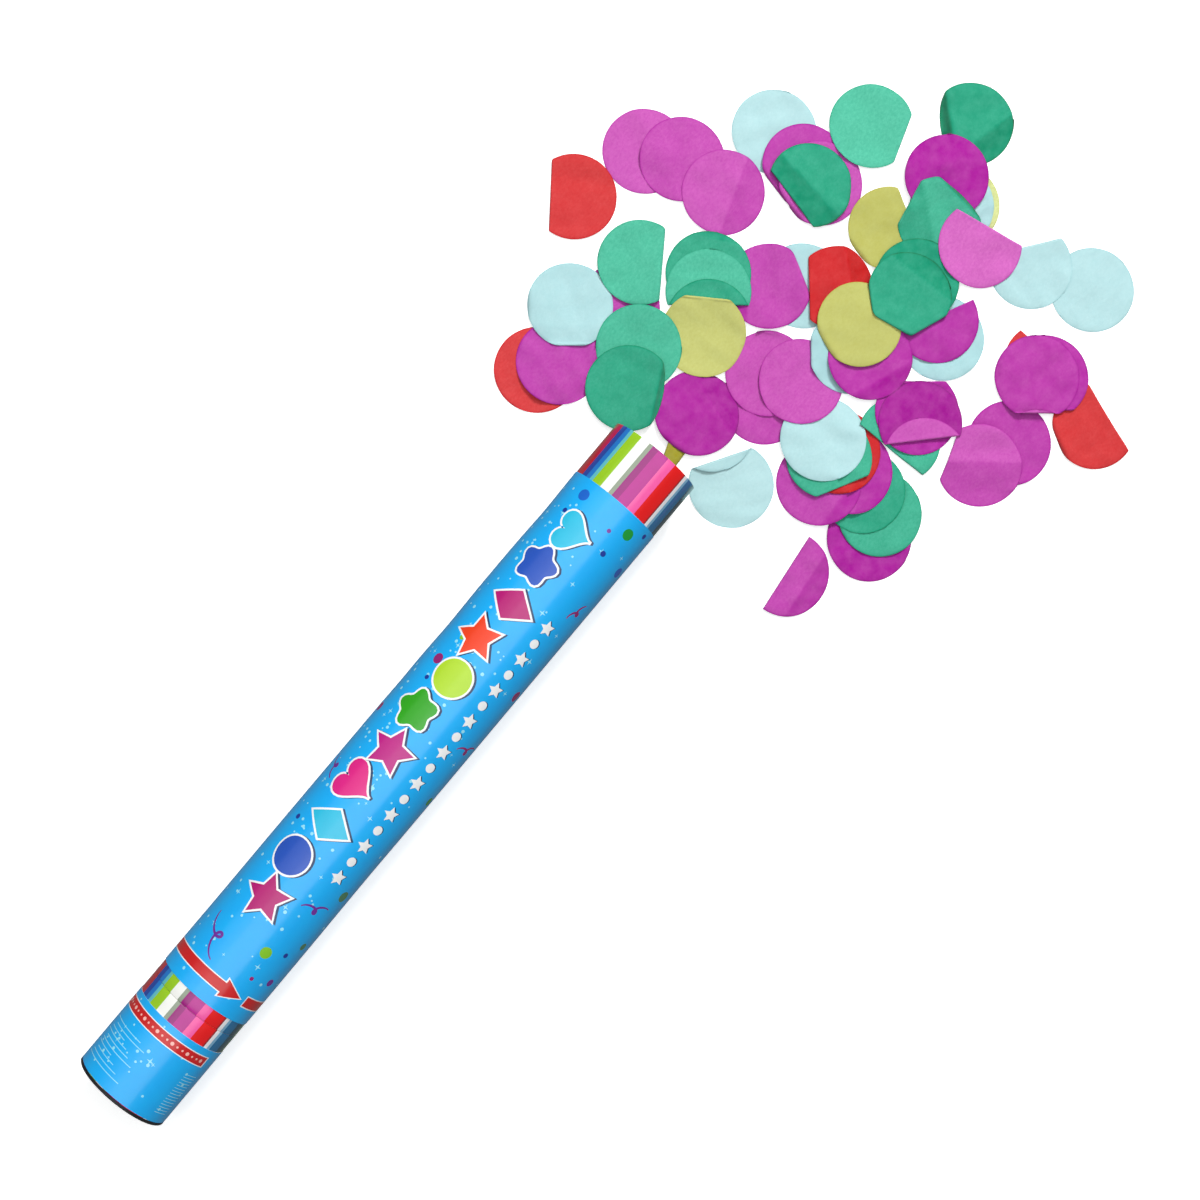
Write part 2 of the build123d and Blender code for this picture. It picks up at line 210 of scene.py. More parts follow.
def tissue(name, deep, pale):
    """Thin dyed tissue: its tone is the mesh's own, which holds the dye's tone and the shade painted on it,
    with clouded dye, fibres and crumples.
    """
    surface = Surface(name, Specular_IOR_Level=0.12, Sheen_Weight=0.12, Sheen_Roughness=0.6)
    own = surface.attribute("disc", "Vector")
    surface.place = surface.add("ShaderNodeVectorMath", {0: surface.place, 1: own}).outputs["Vector"]
    base = surface.blend(surface.attribute("tone", "Fac"), deep, pale)
    # the mix runs past the deep dye, so that the painted shade in the tone can darken it further
    base.node.clamp_factor, base.node.clamp_result = False, True
    clouds = surface.noise(6 * mm, detail=4.0)
    clouded = surface.blend(surface.spread(clouds, high=0.25), base, pale)
    fibres = surface.noise(1.3 * mm, detail=5.0, stretch=(0.75, 1.0, 1.0), rough=0.7)
    colour = surface.blend(surface.spread(fibres, high=0.40), clouded, deep)
    folds = surface.noise(6 * mm, stretch=(0.5, 1.0, 1.0))
    crumple = surface.bump(folds, depth=1.3 * mm, strength=0.55)
    return surface.finish(colour, fibres, (0.78, 0.95), fibres, depth=0.10 * mm, strength=0.6, below=crumple)


def moulded_plastic(name, dark, light, grain):
    """Moulded plastic with a fine grain and a slightly uneven gloss."""
    surface = Surface(name, Specular_IOR_Level=0.45)
    colour = surface.blend(surface.spread(surface.noise(6 * mm)), dark, light)
    scuffs, relief = surface.noise(2 * mm, detail=5.0), surface.noise(grain, detail=4.0)
    return surface.finish(colour, scuffs, (0.35, 0.55), relief, depth=0.04 * mm, strength=0.3)


def brushed_metal(name, dark, light, stretch):
    """Metal with fine lines, which run along the axes of a small stretch."""
    surface = Surface(name, Metallic=1.0)
    lines = surface.noise(0.4 * mm, detail=5.0, stretch=stretch)
    colour = surface.blend(surface.spread(lines), dark, light)
    return surface.finish(colour, lines, (0.22, 0.42), lines, depth=0.01 * mm, strength=0.4)


def soft_rubber(name):
    """Dull black rubber."""
    surface = Surface(name, Specular_IOR_Level=0.3)
    colour = surface.blend(surface.noise(4 * mm), srgb(24, 24, 25), srgb(44, 44, 46))
    scuffs, relief = surface.noise(1.2 * mm), surface.noise(0.5 * mm)
    return surface.finish(colour, scuffs, (0.6, 0.85), relief, depth=0.05 * mm, strength=0.3)


def cell_foam(name):
    """Pale foam with open cells, darker in their hollows by painted shade."""
    cell_size = 1.1 * mm
    surface = Surface(name, Specular_IOR_Level=0.2)
    cells = surface.add("ShaderNodeTexVoronoi", {"Vector": surface.place, "Scale": 1 / cell_size})
    relief = cells.outputs["Distance"]
    # the colour darkens towards the middle of each cell: painted shade in its hollow
    colour = surface.blend(relief, srgb(176, 172, 162), srgb(238, 236, 228))
    scuffs = surface.noise(2 * mm)
    return surface.finish(colour, scuffs, (0.85, 1.0), relief, depth=0.4 * mm, strength=0.7)


finishes = {
    "tube_card": raw_card("raw_board", srgb(150, 132, 108), srgb(200, 184, 158)),
    "print_film": printed("printed_film", rough=(0.19, 0.24), grain=1.4 * mm),
    "black_plastic": moulded_plastic("black_moulding", srgb(16, 16, 18), srgb(30, 30, 33), 0.7 * mm),
    "white_plastic": moulded_plastic("white_moulding", srgb(214, 213, 206), srgb(236, 235, 228), 0.9 * mm),
    "can_alloy": brushed_metal("can_alloy", srgb(176, 178, 182), srgb(222, 224, 228), (0.15, 1.0, 1.0)),
    "steel": brushed_metal("spring_steel", srgb(120, 122, 126), srgb(190, 191, 194), (1.0, 0.3, 0.3)),
    "rubber": soft_rubber("black_rubber"),
    "foam": cell_foam("open_cell_foam"),
    "grey_card": raw_card("grey_board", srgb(118, 112, 102), srgb(166, 160, 148)),
    "tissue_magenta": tissue("magenta_tissue", srgb(168, 30, 152), srgb(216, 114, 196)),
    "tissue_green": tissue("green_tissue", srgb(18, 146, 112), srgb(98, 202, 172)),
    "tissue_pale_blue": tissue("pale_blue_tissue", srgb(160, 205, 209), srgb(196, 227, 229)),
    "tissue_yellow": tissue("yellow_tissue", srgb(176, 174, 82), srgb(202, 208, 136)),
    "tissue_red": tissue("red_tissue", srgb(194, 24, 30), srgb(226, 90, 90)),
}
striped_print = printed("striped_print", rough=(0.14, 0.20), grain=0.9 * mm)


def finish_nodes():
    """Gives each CAD node that stays in view the finish of its slot."""
    for part in frame["record"]["subparts"]:
        slots = frame["nodes"][part["node"]].data.materials
        slots.clear()
        slots.append(finishes[part["material_slot"]])


# Building and placing pieces

def linked(name, data):
    """A new object in the scene."""
    thing = bpy.data.objects.new(name, data)
    bpy.context.scene.collection.objects.link(thing)
    return thing


def mesh_object(name, points, faces, materials):
    """A new object with a mesh."""
    mesh = bpy.data.meshes.new(name)
    mesh.from_pydata([tuple(p) for p in points], [], [tuple(f) for f in faces])
    for material in materials:
        mesh.materials.append(material)
    return linked(name, mesh)


def new_piece(name, points, faces, materials, body, slot, *stands_for):
    """A smooth-shaded mesh that rides on a body and stands for CAD nodes."""
    piece = mesh_object(name, points, faces, materials)
    piece.data.shade_smooth()
    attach(piece, body)
    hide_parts(*stands_for)
    return piece


def paint(mesh, face_inks):
    """Stores one ink per face, where the printed materials read it."""
    corners = np.repeat(np.array(face_inks, np.float32), [p.loop_total for p in mesh.polygons], axis=0)
    layer = mesh.attributes.new("ink", "FLOAT_COLOR", "CORNER")
    layer.data.foreach_set("color", corners.ravel())


def stacked(*coordinates):
    """Points from arrays of their coordinates."""
    return np.stack(coordinates, axis=-1)


def grid_faces(rows, columns, rows_meet=False, columns_meet=False):
    """Faces of a grid of points, whose last row or column may meet its first."""
    index = np.arange(rows * columns).reshape(rows, columns)
    index = np.pad(index, ((0, int(rows_meet)), (0, int(columns_meet))), mode="wrap")
    corners = index[:-1, :-1], index[1:, :-1], index[1:, 1:], index[:-1, 1:]
    return stacked(*corners).reshape(-1, 4)


def grid_border(rows, columns):
    """Points round the border of a grid."""
    index = np.arange(rows * columns).reshape(rows, columns)
    return np.concatenate((index[:, 0], index[-1, 1:], index[-2::-1, -1], index[0, -2:0:-1]))


def unit(vectors):
    """Vectors one long."""
    return vectors / np.linalg.norm(vectors, axis=-1, keepdims=True)


# Tube surface: dents shared by the tubes and the wraps on them

# station, angle, reach along, reach round in degrees, depth
dents = [
    (0.345, -86, 0.014, 30, 0.45 * mm), (0.272, -84, 0.016, 26, 0.40 * mm),
    (0.236, -80, 0.012, 24, 0.25 * mm), (0.150, 78, 0.030, 30, 0.25 * mm),
    (0.100, -70, 0.022, 24, 0.20 * mm), (0.310, 62, 0.020, 22, 0.20 * mm),
]


def dent(x, angle):
    """How far the surface is pushed in at a station and an angle."""
    depth = np.zeros(np.broadcast(x, angle).shape)
    for station, middle, along, round_, deep in dents:
        turn = (angle - middle + 180) % 360 - 180
        depth += deep * np.exp(-(((x - station) / along) ** 2) - (turn / round_) ** 2)
    return depth


def rolled(x, angle, radius):
    """Points at stations and angles on a cylinder about the axis."""
    turn = np.radians(angle)
    return stacked(x + 0 * turn, -radius * np.sin(turn), radius * np.cos(turn))


def rolled_normals(x, angle, radius):
    """Outward normals of the dented cylinder."""
    step, turn_step = 0.5 * mm, 1.0
    slope = (dent(x + step, angle) - dent(x - step, angle)) / (2 * step)
    arc = 2 * radius * math.radians(turn_step)
    slope_round = (dent(x, angle + turn_step) - dent(x, angle - turn_step)) / arc
    turn = np.radians(angle)
    out = rolled(0 * x, angle, 1.0)
    around = stacked(0 * turn, -np.cos(turn), -np.sin(turn))
    along = stacked(1 + 0 * turn, 0 * turn, 0 * turn)
    return unit(out + slope[..., None] * along + slope_round[..., None] * around)


# Striped tubes

# last angle of each stripe and its ink, from the tube's +Y side over the top
stripes = [
    (-60, srgb(190, 30, 44)), (-51, srgb(20, 66, 160)), (-44, srgb(24, 116, 200)),
    (-39, srgb(92, 186, 196)), (-26, srgb(150, 200, 30)), (-14, srgb(244, 246, 240)),
    # from -9 to 24, dark magenta, magenta and pink stand for one magenta stripe with a painted highlight,
    # brightest at its pink end
    (-9, srgb(146, 158, 138)), (-1, srgb(150, 8, 118)), (13, srgb(184, 28, 142)),
    (24, srgb(248, 92, 168)), (42, srgb(232, 16, 18)), (44, srgb(150, 40, 46)),
    (49, srgb(240, 240, 244)), (53, srgb(122, 176, 208)), (67, srgb(32, 112, 162)),
    # the dark teal stripe from 67 to 80 is painted shade, on the side where the tube turns down
    (80, srgb(22, 78, 96)), (96, srgb(60, 130, 60)), (112, srgb(150, 200, 30)),
    (124, srgb(244, 246, 240)), (140, srgb(40, 130, 196)), (156, srgb(196, 62, 158)),
    (176, srgb(206, 20, 22)), (190, srgb(28, 62, 140)), (206, srgb(150, 200, 30)),
    (218, srgb(244, 246, 240)), (234, srgb(92, 186, 196)), (250, srgb(226, 86, 160)),
    (270, srgb(176, 34, 48)),
]
stripe_start = -90
# turn of the stripes in degrees per metre of tube, and of those on the handle against the barrel's
stripe_skew, handle_turn = 12.0, 1.0
# how far each tube is drawn into the gap at the twist line
butt_reach = 0.15 * mm
lip_size, lip_steps = 0.15 * mm, 4
segment_turn = 1.0
tube_step, least_stations = 4 * mm, 12
bore_stride = 8
tube_sharp = math.radians(40)
# order of a face's corners that turns it over
turned_over = [0, 3, 2, 1]


def stripe_ink(angle):
    """Ink of the stripe at an angle."""
    turn = (angle - stripe_start) % 360 + stripe_start
    return next(ink for last, ink in stripes if turn < last)


def lip_arc(x, radius, size, start, turn, steps=lip_steps):
    """Rounded corner of a cut edge, as stations and radii."""
    angles = np.radians(np.linspace(start, start + turn, steps))
    return [(x + size * math.cos(a), radius + size * math.sin(a)) for a in angles]


def tube_profile(start, end, inner, outer):
    """Stations and radii round a tube's wall, and how many of them are on its printed outside."""
    near, far = start + lip_size, end - lip_size
    low, high = inner + lip_size, outer - lip_size
    run = np.linspace(near, far, max(least_stations, round((end - start) / tube_step)))
    outside = [(x, outer) for x in run]
    far_lip = lip_arc(far, high, lip_size, 90, -90)[1:] + lip_arc(far, low, lip_size, 0, -90)
    bore = [(x, inner) for x in run[::-bore_stride]]
    near_lip = lip_arc(near, low, lip_size, -90, -90) + lip_arc(near, high, lip_size, 180, -90)[:-1]
    return np.array(outside + far_lip + bore + near_lip), len(outside)


def striped_tube(name, node, body, first_turn, longer):
    """A wound tube printed with lengthwise stripes, with bare board at its cut ends and bore."""
    start, end = span(node)
    profile, outside = tube_profile(start - longer[0], end + longer[1], *radii(node))
    stations, reach = profile.T
    around = np.arange(stripe_start, stripe_start + 360, segment_turn)
    x, turn = np.meshgrid(stations, around, indexing="ij")
    skew = first_turn + stripe_skew * (x - mouth)
    radius = np.repeat(reach[:, None], len(around), axis=1)
    radius[:outside] -= dent(x, turn)[:outside]
    points = rolled(x, turn + skew, radius).reshape(-1, 3)
    rows, columns = x.shape
    faces = grid_faces(rows, columns, rows_meet=True, columns_meet=True)[:, turned_over]
    piece = new_piece(name, points, faces, [striped_print, finishes["tube_card"]], body, "tube_card", node)
    inks = [stripe_ink(a + segment_turn / 2) for a in around]
    paint(piece.data, inks * rows)
    row = np.arange(rows)
    # the print goes on over the rounded outer corners
    bare = (row >= outside + lip_steps - 2) & (row <= rows - lip_steps)
    piece.data.polygons.foreach_set("material_index", np.repeat(bare, columns).astype(np.int32))
    piece.data.set_sharp_from_angle(angle=tube_sharp)


# Outlines for the printed wraps, about 1 in radius, with x along the tube and y up the print

curve_points = 40
least_mitre = 0.45
edge_step = 1.3 * mm


def star(tips, inner):
    """A star whose notches lie at this share of its radius."""
    turns = np.arange(2 * tips) * math.pi / tips
    reach = np.where(np.arange(2 * tips) % 2 == 0, 1.0, inner)
    return stacked(reach * np.sin(turns), reach * np.cos(turns))


def blossom(petals=0, wave=0.0, count=curve_points):
    """A circle, or a flower where its edge waves."""
    turns = np.arange(count) * 2 * math.pi / count
    reach = 1 - wave + wave * np.cos(petals * turns)
    return stacked(reach * np.sin(turns), reach * np.cos(turns))


def heart():
    """A heart by the usual formula, which is 16 wide to each side and stands 2.5 low."""
    turns = (np.arange(curve_points) + 0.5) * 2 * math.pi / curve_points
    side = 16 * np.sin(turns) ** 3
    up = 13 * np.cos(turns) - 5 * np.cos(2 * turns) - 2 * np.cos(3 * turns) - np.cos(4 * turns)
    return stacked(side, up + 2.5) / 16


def diamond(width):
    """A diamond of this half width."""
    return np.array([(0, 1), (width, 0), (0, -1), (-width, 0)], float)


def grown(outline, distance):
    """An outline moved outwards, with its sharp tips cut short."""
    after = unit(np.roll(outline, -1, axis=0) - outline)
    area = np.sum(outline[:, 0] * np.roll(outline[:, 1], -1) - outline[:, 1] * np.roll(outline[:, 0], -1))
    normal = stacked(after[:, 1], -after[:, 0]) * np.sign(area)
    before = np.roll(normal, 1, axis=0)
    mitre = (normal + before) / np.maximum(least_mitre, 1 + np.sum(normal * before, axis=1))[:, None]
    return outline + distance * mitre


def stepped(outline):
    """An outline whose long edges get points between, so that it keeps its curve when rolled."""
    points = []
    for near, far in zip(outline, np.roll(outline, -1, axis=0)):
        count = max(1, math.ceil(np.linalg.norm(far - near) / edge_step))
        points += [near + (far - near) * i / count for i in range(count)]
    return np.array(points)


# Inks and sizes of the print

sky_ink = srgb(12, 174, 249)
white_ink = srgb(248, 250, 250)
shadow_ink = srgb(10, 52, 96)
glitter_ink = srgb(150, 228, 250)
red_ink = srgb(204, 22, 24)
blush_ink = srgb(250, 190, 180)

# bold shapes: growth, white edge, and shadow, which drops round the tube and by a share of that along it
badge_growth = 1.12
badge_edge, badge_drop, badge_drop_along = 1.0 * mm, 1.1 * mm, 0.4

# streamers: the turn of their loop each way, points, sway and height in shares of their reach, width, and
# the angle at which the sine that thins them starts
curl_turn, curl_points = math.pi + 1.2, 26
curl_sway, curl_height = 1.9, 1.5
curl_width, curl_thin = 1.6 * mm, 0.35


class Print:
    """Layers of ink on an unrolled wrap, each an outline of stations and arc lengths in metres."""

    def __init__(self, ground):
        self.ground = ground
        self.layers = []

    def shape(self, outline, ink, station, angle, scale=1.0, lean=0.0):
        """An outline, scaled and leaned, at a station and an angle."""
        turn = math.radians(lean)
        along = outline[:, 0] * math.cos(turn) + outline[:, 1] * math.sin(turn)
        up = outline[:, 1] * math.cos(turn) - outline[:, 0] * math.sin(turn)
        arc = wrap_r * math.radians(angle)
        self.layers.append((stacked(station + scale * along, arc - scale * up), ink))

    def badge(self, outline, ink, station, angle, size, lean):
        """A bold shape with a white edge and a dark shadow below it."""
        sized = outline * size * badge_growth
        edged = grown(sized, badge_edge)
        below = angle + math.degrees(badge_drop / wrap_r)
        self.shape(edged, shadow_ink, station + badge_drop_along * badge_drop, below, lean=lean)
        self.shape(edged, white_ink, station, angle, lean=lean)
        self.shape(sized, ink, station, angle, lean=lean)

    def curl(self, ink, station, angle, length, lean):
        """A paper streamer that loops on its way."""
        turns = np.linspace(-curl_turn, curl_turn, curl_points)
        reach = length / (2 * turns[-1])
        sway = reach * (turns - curl_sway * np.sin(turns))
        path = stacked(sway, -curl_height * reach * np.cos(turns))
        run = np.gradient(path, axis=0)
        side = unit(stacked(-run[:, 1], run[:, 0]))
        thick = curl_width / 2 * np.sin(np.linspace(curl_thin, math.pi - curl_thin, curl_points))[:, None]
        left, right = path + thick * side, path - thick * side
        for i in range(curl_points - 1):
            link = np.array((left[i], left[i + 1], right[i + 1], right[i]))
            self.shape(link, ink, station, angle, lean=lean)

    def band(self, ink, start, end, first, last, step=3.0):
        """A patch between two stations and two angles."""
        around = wrap_r * np.radians(np.arange(first, last + step / 2, step))
        near = stacked(np.full(len(around), start), around)
        far = stacked(np.full(len(around), end), around)
        self.layers.append((np.concatenate((near, far[::-1])), ink))


# Meshes of the printed wraps

# half the gap at the wrap's seam in degrees, and how far each wrap is drawn past its CAD end
seam_gap = 0.4
barrel_wrap_longer, handle_wrap_longer = 3.2 * mm, -3.0 * mm
wrap_step, least_rows, wrap_columns = 5 * mm, 4, 121
# the triangulation's plain kind of output, and the distance in millimetres at which it joins points
plain_triangles, join_distance = 0, 1e-4


def inside(points, outline):
    """Which points lie in an outline, by counting the edges that a ray crosses."""
    odd = np.zeros(len(points), bool)
    for (x0, y0), (x1, y1) in zip(outline, np.roll(outline, -1, axis=0)):
        if y0 == y1:
            continue
        crosses = (y0 > points[:, 1]) != (y1 > points[:, 1])
        odd ^= crosses & (points[:, 0] < x0 + (points[:, 1] - y0) * (x1 - x0) / (y1 - y0))
    return odd


def wrap_mesh_plan(start, end, design):
    """Triangles of an unrolled wrap that keep every edge of its print, and each triangle's ink."""
    half = wrap_r * math.radians(180 - seam_gap)
    along = np.linspace(start, end, max(least_rows, round((end - start) / wrap_step)))
    across = np.linspace(-half, half, wrap_columns)
    grid_x, grid_y = np.meshgrid(along, across, indexing="ij")
    points = stacked(grid_x, grid_y).reshape(-1, 2).tolist()
    border = grid_border(*grid_x.shape)
    edges = list(zip(border.tolist(), np.roll(border, -1).tolist()))
    for outline, _ in design.layers:
        edge = stepped(outline)
        first, count = len(points), len(edge)
        points += edge.tolist()
        edges += [(first + i, first + (i + 1) % count) for i in range(count)]
    per_mm = 1 / mm
    scaled = [Vector((per_mm * x, per_mm * y)) for x, y in points]
    flat, _, triangles, *_ = delaunay_2d_cdt(scaled, edges, [], plain_triangles, join_distance)
    flat = np.array([tuple(v) for v in flat]) / per_mm
    triangles = np.array(triangles)[:, ::-1]
    middles = flat[triangles].mean(axis=1)
    kept = (middles[:, 0] > start) & (middles[:, 0] < end) & (np.abs(middles[:, 1]) < half)
    triangles, middles = triangles[kept], middles[kept]
    inks = np.tile(np.array(design.ground), (len(triangles), 1))
    for outline, ink in design.layers:
        inks[inside(middles, outline)] = ink
    return flat, triangles, inks


def rim_edges(triangles):
    """Edges that only one triangle has."""
    ways = np.concatenate([triangles[:, [i, (i + 1) % 3]] for i in range(3)])
    known = {tuple(way) for way in ways.tolist()}
    return np.array([(a, b) for a, b in sorted(known) if (b, a) not in known])


def printed_wrap(name, node, body, design, longer):
    """A printed sheet rolled on the tube, as a thin closed shell with true round shading."""
    start, end = span(node)
    flat, triangles, inks = wrap_mesh_plan(start, end + longer, design)
    x, angle = flat[:, 0], np.degrees(flat[:, 1] / wrap_r)
    depth = dent(x, angle)
    points = np.concatenate((rolled(x, angle, wrap_r - depth), rolled(x, angle, wrap_inner_r - depth)))
    count, back, rim = len(flat), triangles[:, ::-1], rim_edges(triangles)
    rim_faces = stacked(rim[:, 1], rim[:, 0], rim[:, 0] + count, rim[:, 1] + count)
    faces = triangles.tolist() + (back + count).tolist() + rim_faces.tolist()
    piece = new_piece(name, points, faces, [finishes["print_film"]], body, "print_film", node)
    plain = np.tile(np.array(white_ink), (len(back) + len(rim), 1))
    paint(piece.data, np.concatenate((inks, plain)))
    normals = rolled_normals(x, angle, wrap_r)
    round_normals = np.concatenate((normals[triangles], -normals[back])).reshape(-1, 3)
    flat_normals = np.zeros((4 * len(rim), 3))
    piece.data.polygons.foreach_set("use_smooth", np.arange(len(faces)) < 2 * len(triangles))
    piece.data.normals_split_custom_set(np.concatenate((round_normals, flat_normals)).tolist())


# Motifs of the two wraps

badge_inks = {
    "magenta": srgb(180, 10, 112), "blue": srgb(34, 82, 186), "cyan": srgb(40, 190, 226),
    "pink": srgb(224, 30, 132), "green": srgb(44, 164, 20), "lime": srgb(176, 218, 40),
    "orange": srgb(240, 62, 20), "violet": srgb(186, 16, 128),
}
speck_inks = {
    "navy": srgb(16, 52, 150), "purple": srgb(110, 40, 150), "plum": srgb(150, 24, 110),
    "lime": srgb(130, 196, 30), "green": srgb(20, 150, 50), "blue": srgb(16, 96, 200),
    "olive": srgb(70, 130, 90),
}
party_star, lozenge = star(5, 0.5), diamond(0.72)
ball, flower = blossom(), blossom(5, 0.14)
small_dot = blossom(count=24)

# bold shapes in a row: outline, ink, angle, size in millimetres and lean
badge_row = [
    (party_star, "magenta", -16, 10.5, 0), (ball, "blue", -24, 8.5, 0), (lozenge, "cyan", -14, 10.5, 0),
    (heart(), "pink", -22, 9.5, 8), (party_star, "violet", -15, 10.5, 14), (flower, "green", -23, 9.5, 0),
    (ball, "lime", -14, 8.5, 0), (party_star, "orange", -22, 10.5, -8), (lozenge, "magenta", -16, 10.5, 0),
    (flower, "blue", -24, 9.5, 20), (heart(), "cyan", -15, 9.0, -8),
]
badge_row_start, badge_row_end = 0.118, 0.343

# small stars and dots in a line, with shadows
line_start, line_end, line_count = 0.146, 0.300, 17
line_star, line_dot = party_star * (4.2 * mm), small_dot * (2.4 * mm)
line_angle, line_shadow_angle, line_shadow_along = 33, 34.2, 0.3 * mm

# loose specks: ink, station, angle and radius in millimetres
specks = [
    ("lime", 0.0977, 24, 3.0), ("navy", 0.1016, 47, 1.3), ("plum", 0.0840, 31, 1.1),
    ("purple", 0.0865, 57, 2.0), ("olive", 0.1091, 62, 2.0), ("olive", 0.1395, 60, 3.0),
    ("navy", 0.1555, -53, 1.4), ("plum", 0.2558, -44, 2.8), ("navy", 0.2455, -39, 1.2),
    ("plum", 0.2655, 69, 3.0), ("blue", 0.3607, -35, 3.0), ("navy", 0.3494, -42, 1.3),
    ("navy", 0.3646, 57, 1.4), ("navy", 0.3447, 26, 1.5), ("green", 0.3596, 35, 3.0),
    ("purple", 0.3548, 14, 1.1), ("blue", 0.3433, 65, 2.8), ("plum", 0.2201, -75, 2.6),
    ("lime", 0.2709, -37, 1.4), ("green", 0.2000, 72, 2.4),
]

# streamers: ink, station, angle, length and lean
streamers = [
    ("purple", 0.0895, -32, 0.017, -35), ("purple", 0.1272, 37, 0.011, 70), ("plum", 0.3150, 53, 0.009, 30),
    ("purple", 0.1850, -62, 0.010, -35), ("plum", 0.2300, 60, 0.010, 70),
]

# sparks of each wrap: how many and their seed, then for all of them the distance kept from the wrap's ends,
# the least, likeliest and greatest angle, and the least and greatest size in millimetres
barrel_sparks, handle_sparks = (220, 3), (36, 8)
spark_margin = 5 * mm
spark_angles, spark_sizes = (-85, -45, 80), (0.4, 0.95)
spark_star, spark_dot = star(4, 0.25) * 2.2, blossom(count=10)
spark_star_every = 5

# underside: seeds, distance kept from the wrap's ends, spacing, angles, the angle past which they are
# counted from the other way round, and dots by radius in millimetres between streamers
barrel_back_seed, handle_back_seed = 5, 9
back_margin, back_spacing = 8 * mm, 9 * mm
back_angles, back_turnover = (95, 260), 176
back_dot, back_dot_sizes = blossom(count=20), (1.2, 3.0)
back_curl, back_leans, back_curl_every = 11 * mm, (0, 180), 4

# turn arrow: station, half widths and white edge, the angles that its shaft, head and tab run between, and
# the widths of edge by which the head grows at its back, tip and sides
arrow_station = 0.0731
arrow_half, head_half, arrow_edge = 2.6 * mm, 4.8 * mm, 0.5 * mm
shaft_angles, head_angles, tab_angles = (-98, 13), (12, 36), (44, 92)
back_growth, tip_growth, side_growth = 1.5, 2.2, 1.6

# red band of the handle, and the dots on it
band_station, band_half, band_edge = 0.0382, 2.5 * mm, 0.45 * mm
band_angles, band_dot_angles = (-104, 58), np.arange(-96, 52, 7.0)
band_dot, band_dot_small, band_dot_large = blossom(count=12), 0.55 * mm, 0.95 * mm
band_dot_large_every = 3

# plain ruled lines of the handle, long and short: stations, widths and the angles that they run between
ruled_stations, ruled_width = np.arange(8.0, 31.0, 2.3) * mm, 0.35 * mm
ruled_starts, ruled_ends = (-74, -69, -64), (-8, -17, -26, -35)
short_stations, short_width = np.arange(7.0, 31.0, 1.6) * mm, 0.3 * mm
short_angles, ruled_step = (46, 66), 2.0


def scatter_sparks(design, start, end, count, seed):
    """Small pale sparks, thickest towards the tube's +Y side."""
    rng = np.random.default_rng(seed)
    for i in range(count):
        station = rng.uniform(start + spark_margin, end - spark_margin)
        angle = rng.triangular(*spark_angles)
        size = rng.uniform(*spark_sizes) * mm
        design.shape(spark_dot if i % spark_star_every else spark_star, glitter_ink, station, angle, size)


def back_pattern(design, start, end, seed):
    """Dots and streamers that go on round the underside."""
    rng = np.random.default_rng(seed)
    inks = list(speck_inks.values())
    for i in range(round((end - start) / back_spacing)):
        ink = inks[i % len(inks)]
        station = rng.uniform(start + back_margin, end - back_margin)
        angle = rng.uniform(*back_angles)
        angle = angle - 360 if angle > back_turnover else angle
        if i % back_curl_every == 0:
            design.curl(ink, station, angle, back_curl, rng.uniform(*back_leans))
        else:
            design.shape(back_dot, ink, station, angle, rng.uniform(*back_dot_sizes) * mm)


def ground_print(node, sparks, back_seed):
    """Sky of a wrap, with its sparks and the pattern of its underside."""
    design = Print(sky_ink)
    scatter_sparks(design, *span(node), *sparks)
    back_pattern(design, *span(node), back_seed)
    return design


def barrel_print():
    """Print of the long wrap: a turn arrow, a row of bold party shapes, and loose confetti."""
    design = ground_print("barrel_label", barrel_sparks, barrel_back_seed)
    for ink, station, angle, size in specks:
        design.shape(small_dot, speck_inks[ink], station, angle, size * mm)
    for ink, station, angle, length, lean in streamers:
        design.curl(speck_inks[ink], station, angle, length, lean)
    stations = np.linspace(badge_row_start, badge_row_end, len(badge_row))
    for station, (outline, ink, angle, size, lean) in zip(stations, badge_row):
        design.badge(outline, badge_inks[ink], station, angle, size * mm, lean)
    for i, station in enumerate(np.linspace(line_start, line_end, line_count)):
        outline = line_dot if i % 2 else line_star
        design.shape(outline, shadow_ink, station + line_shadow_along, line_shadow_angle)
        design.shape(outline, white_ink, station, line_angle)
    turn_arrow(design)
    return design


def turn_arrow(design):
    """A red arrow round the tube with a white edge, and a plain tab beyond its tip."""
    for ink, wide in ((white_ink, arrow_edge), (red_ink, 0.0)):
        extra = math.degrees(wide / wrap_r)
        near, far = arrow_station - arrow_half - wide, arrow_station + arrow_half + wide
        design.band(ink, near, far, shaft_angles[0] - extra, shaft_angles[1])
        back = wrap_r * np.radians(head_angles[0] - back_growth * extra)
        tip = wrap_r * np.radians(head_angles[1] + tip_growth * extra)
        reach = head_half + side_growth * wide
        head = [(arrow_station - reach, back), (arrow_station + reach, back), (arrow_station, tip)]
        design.layers.append((np.array(head), ink))
        design.band(ink, near, far, tab_angles[0] - extra, tab_angles[1] + extra)


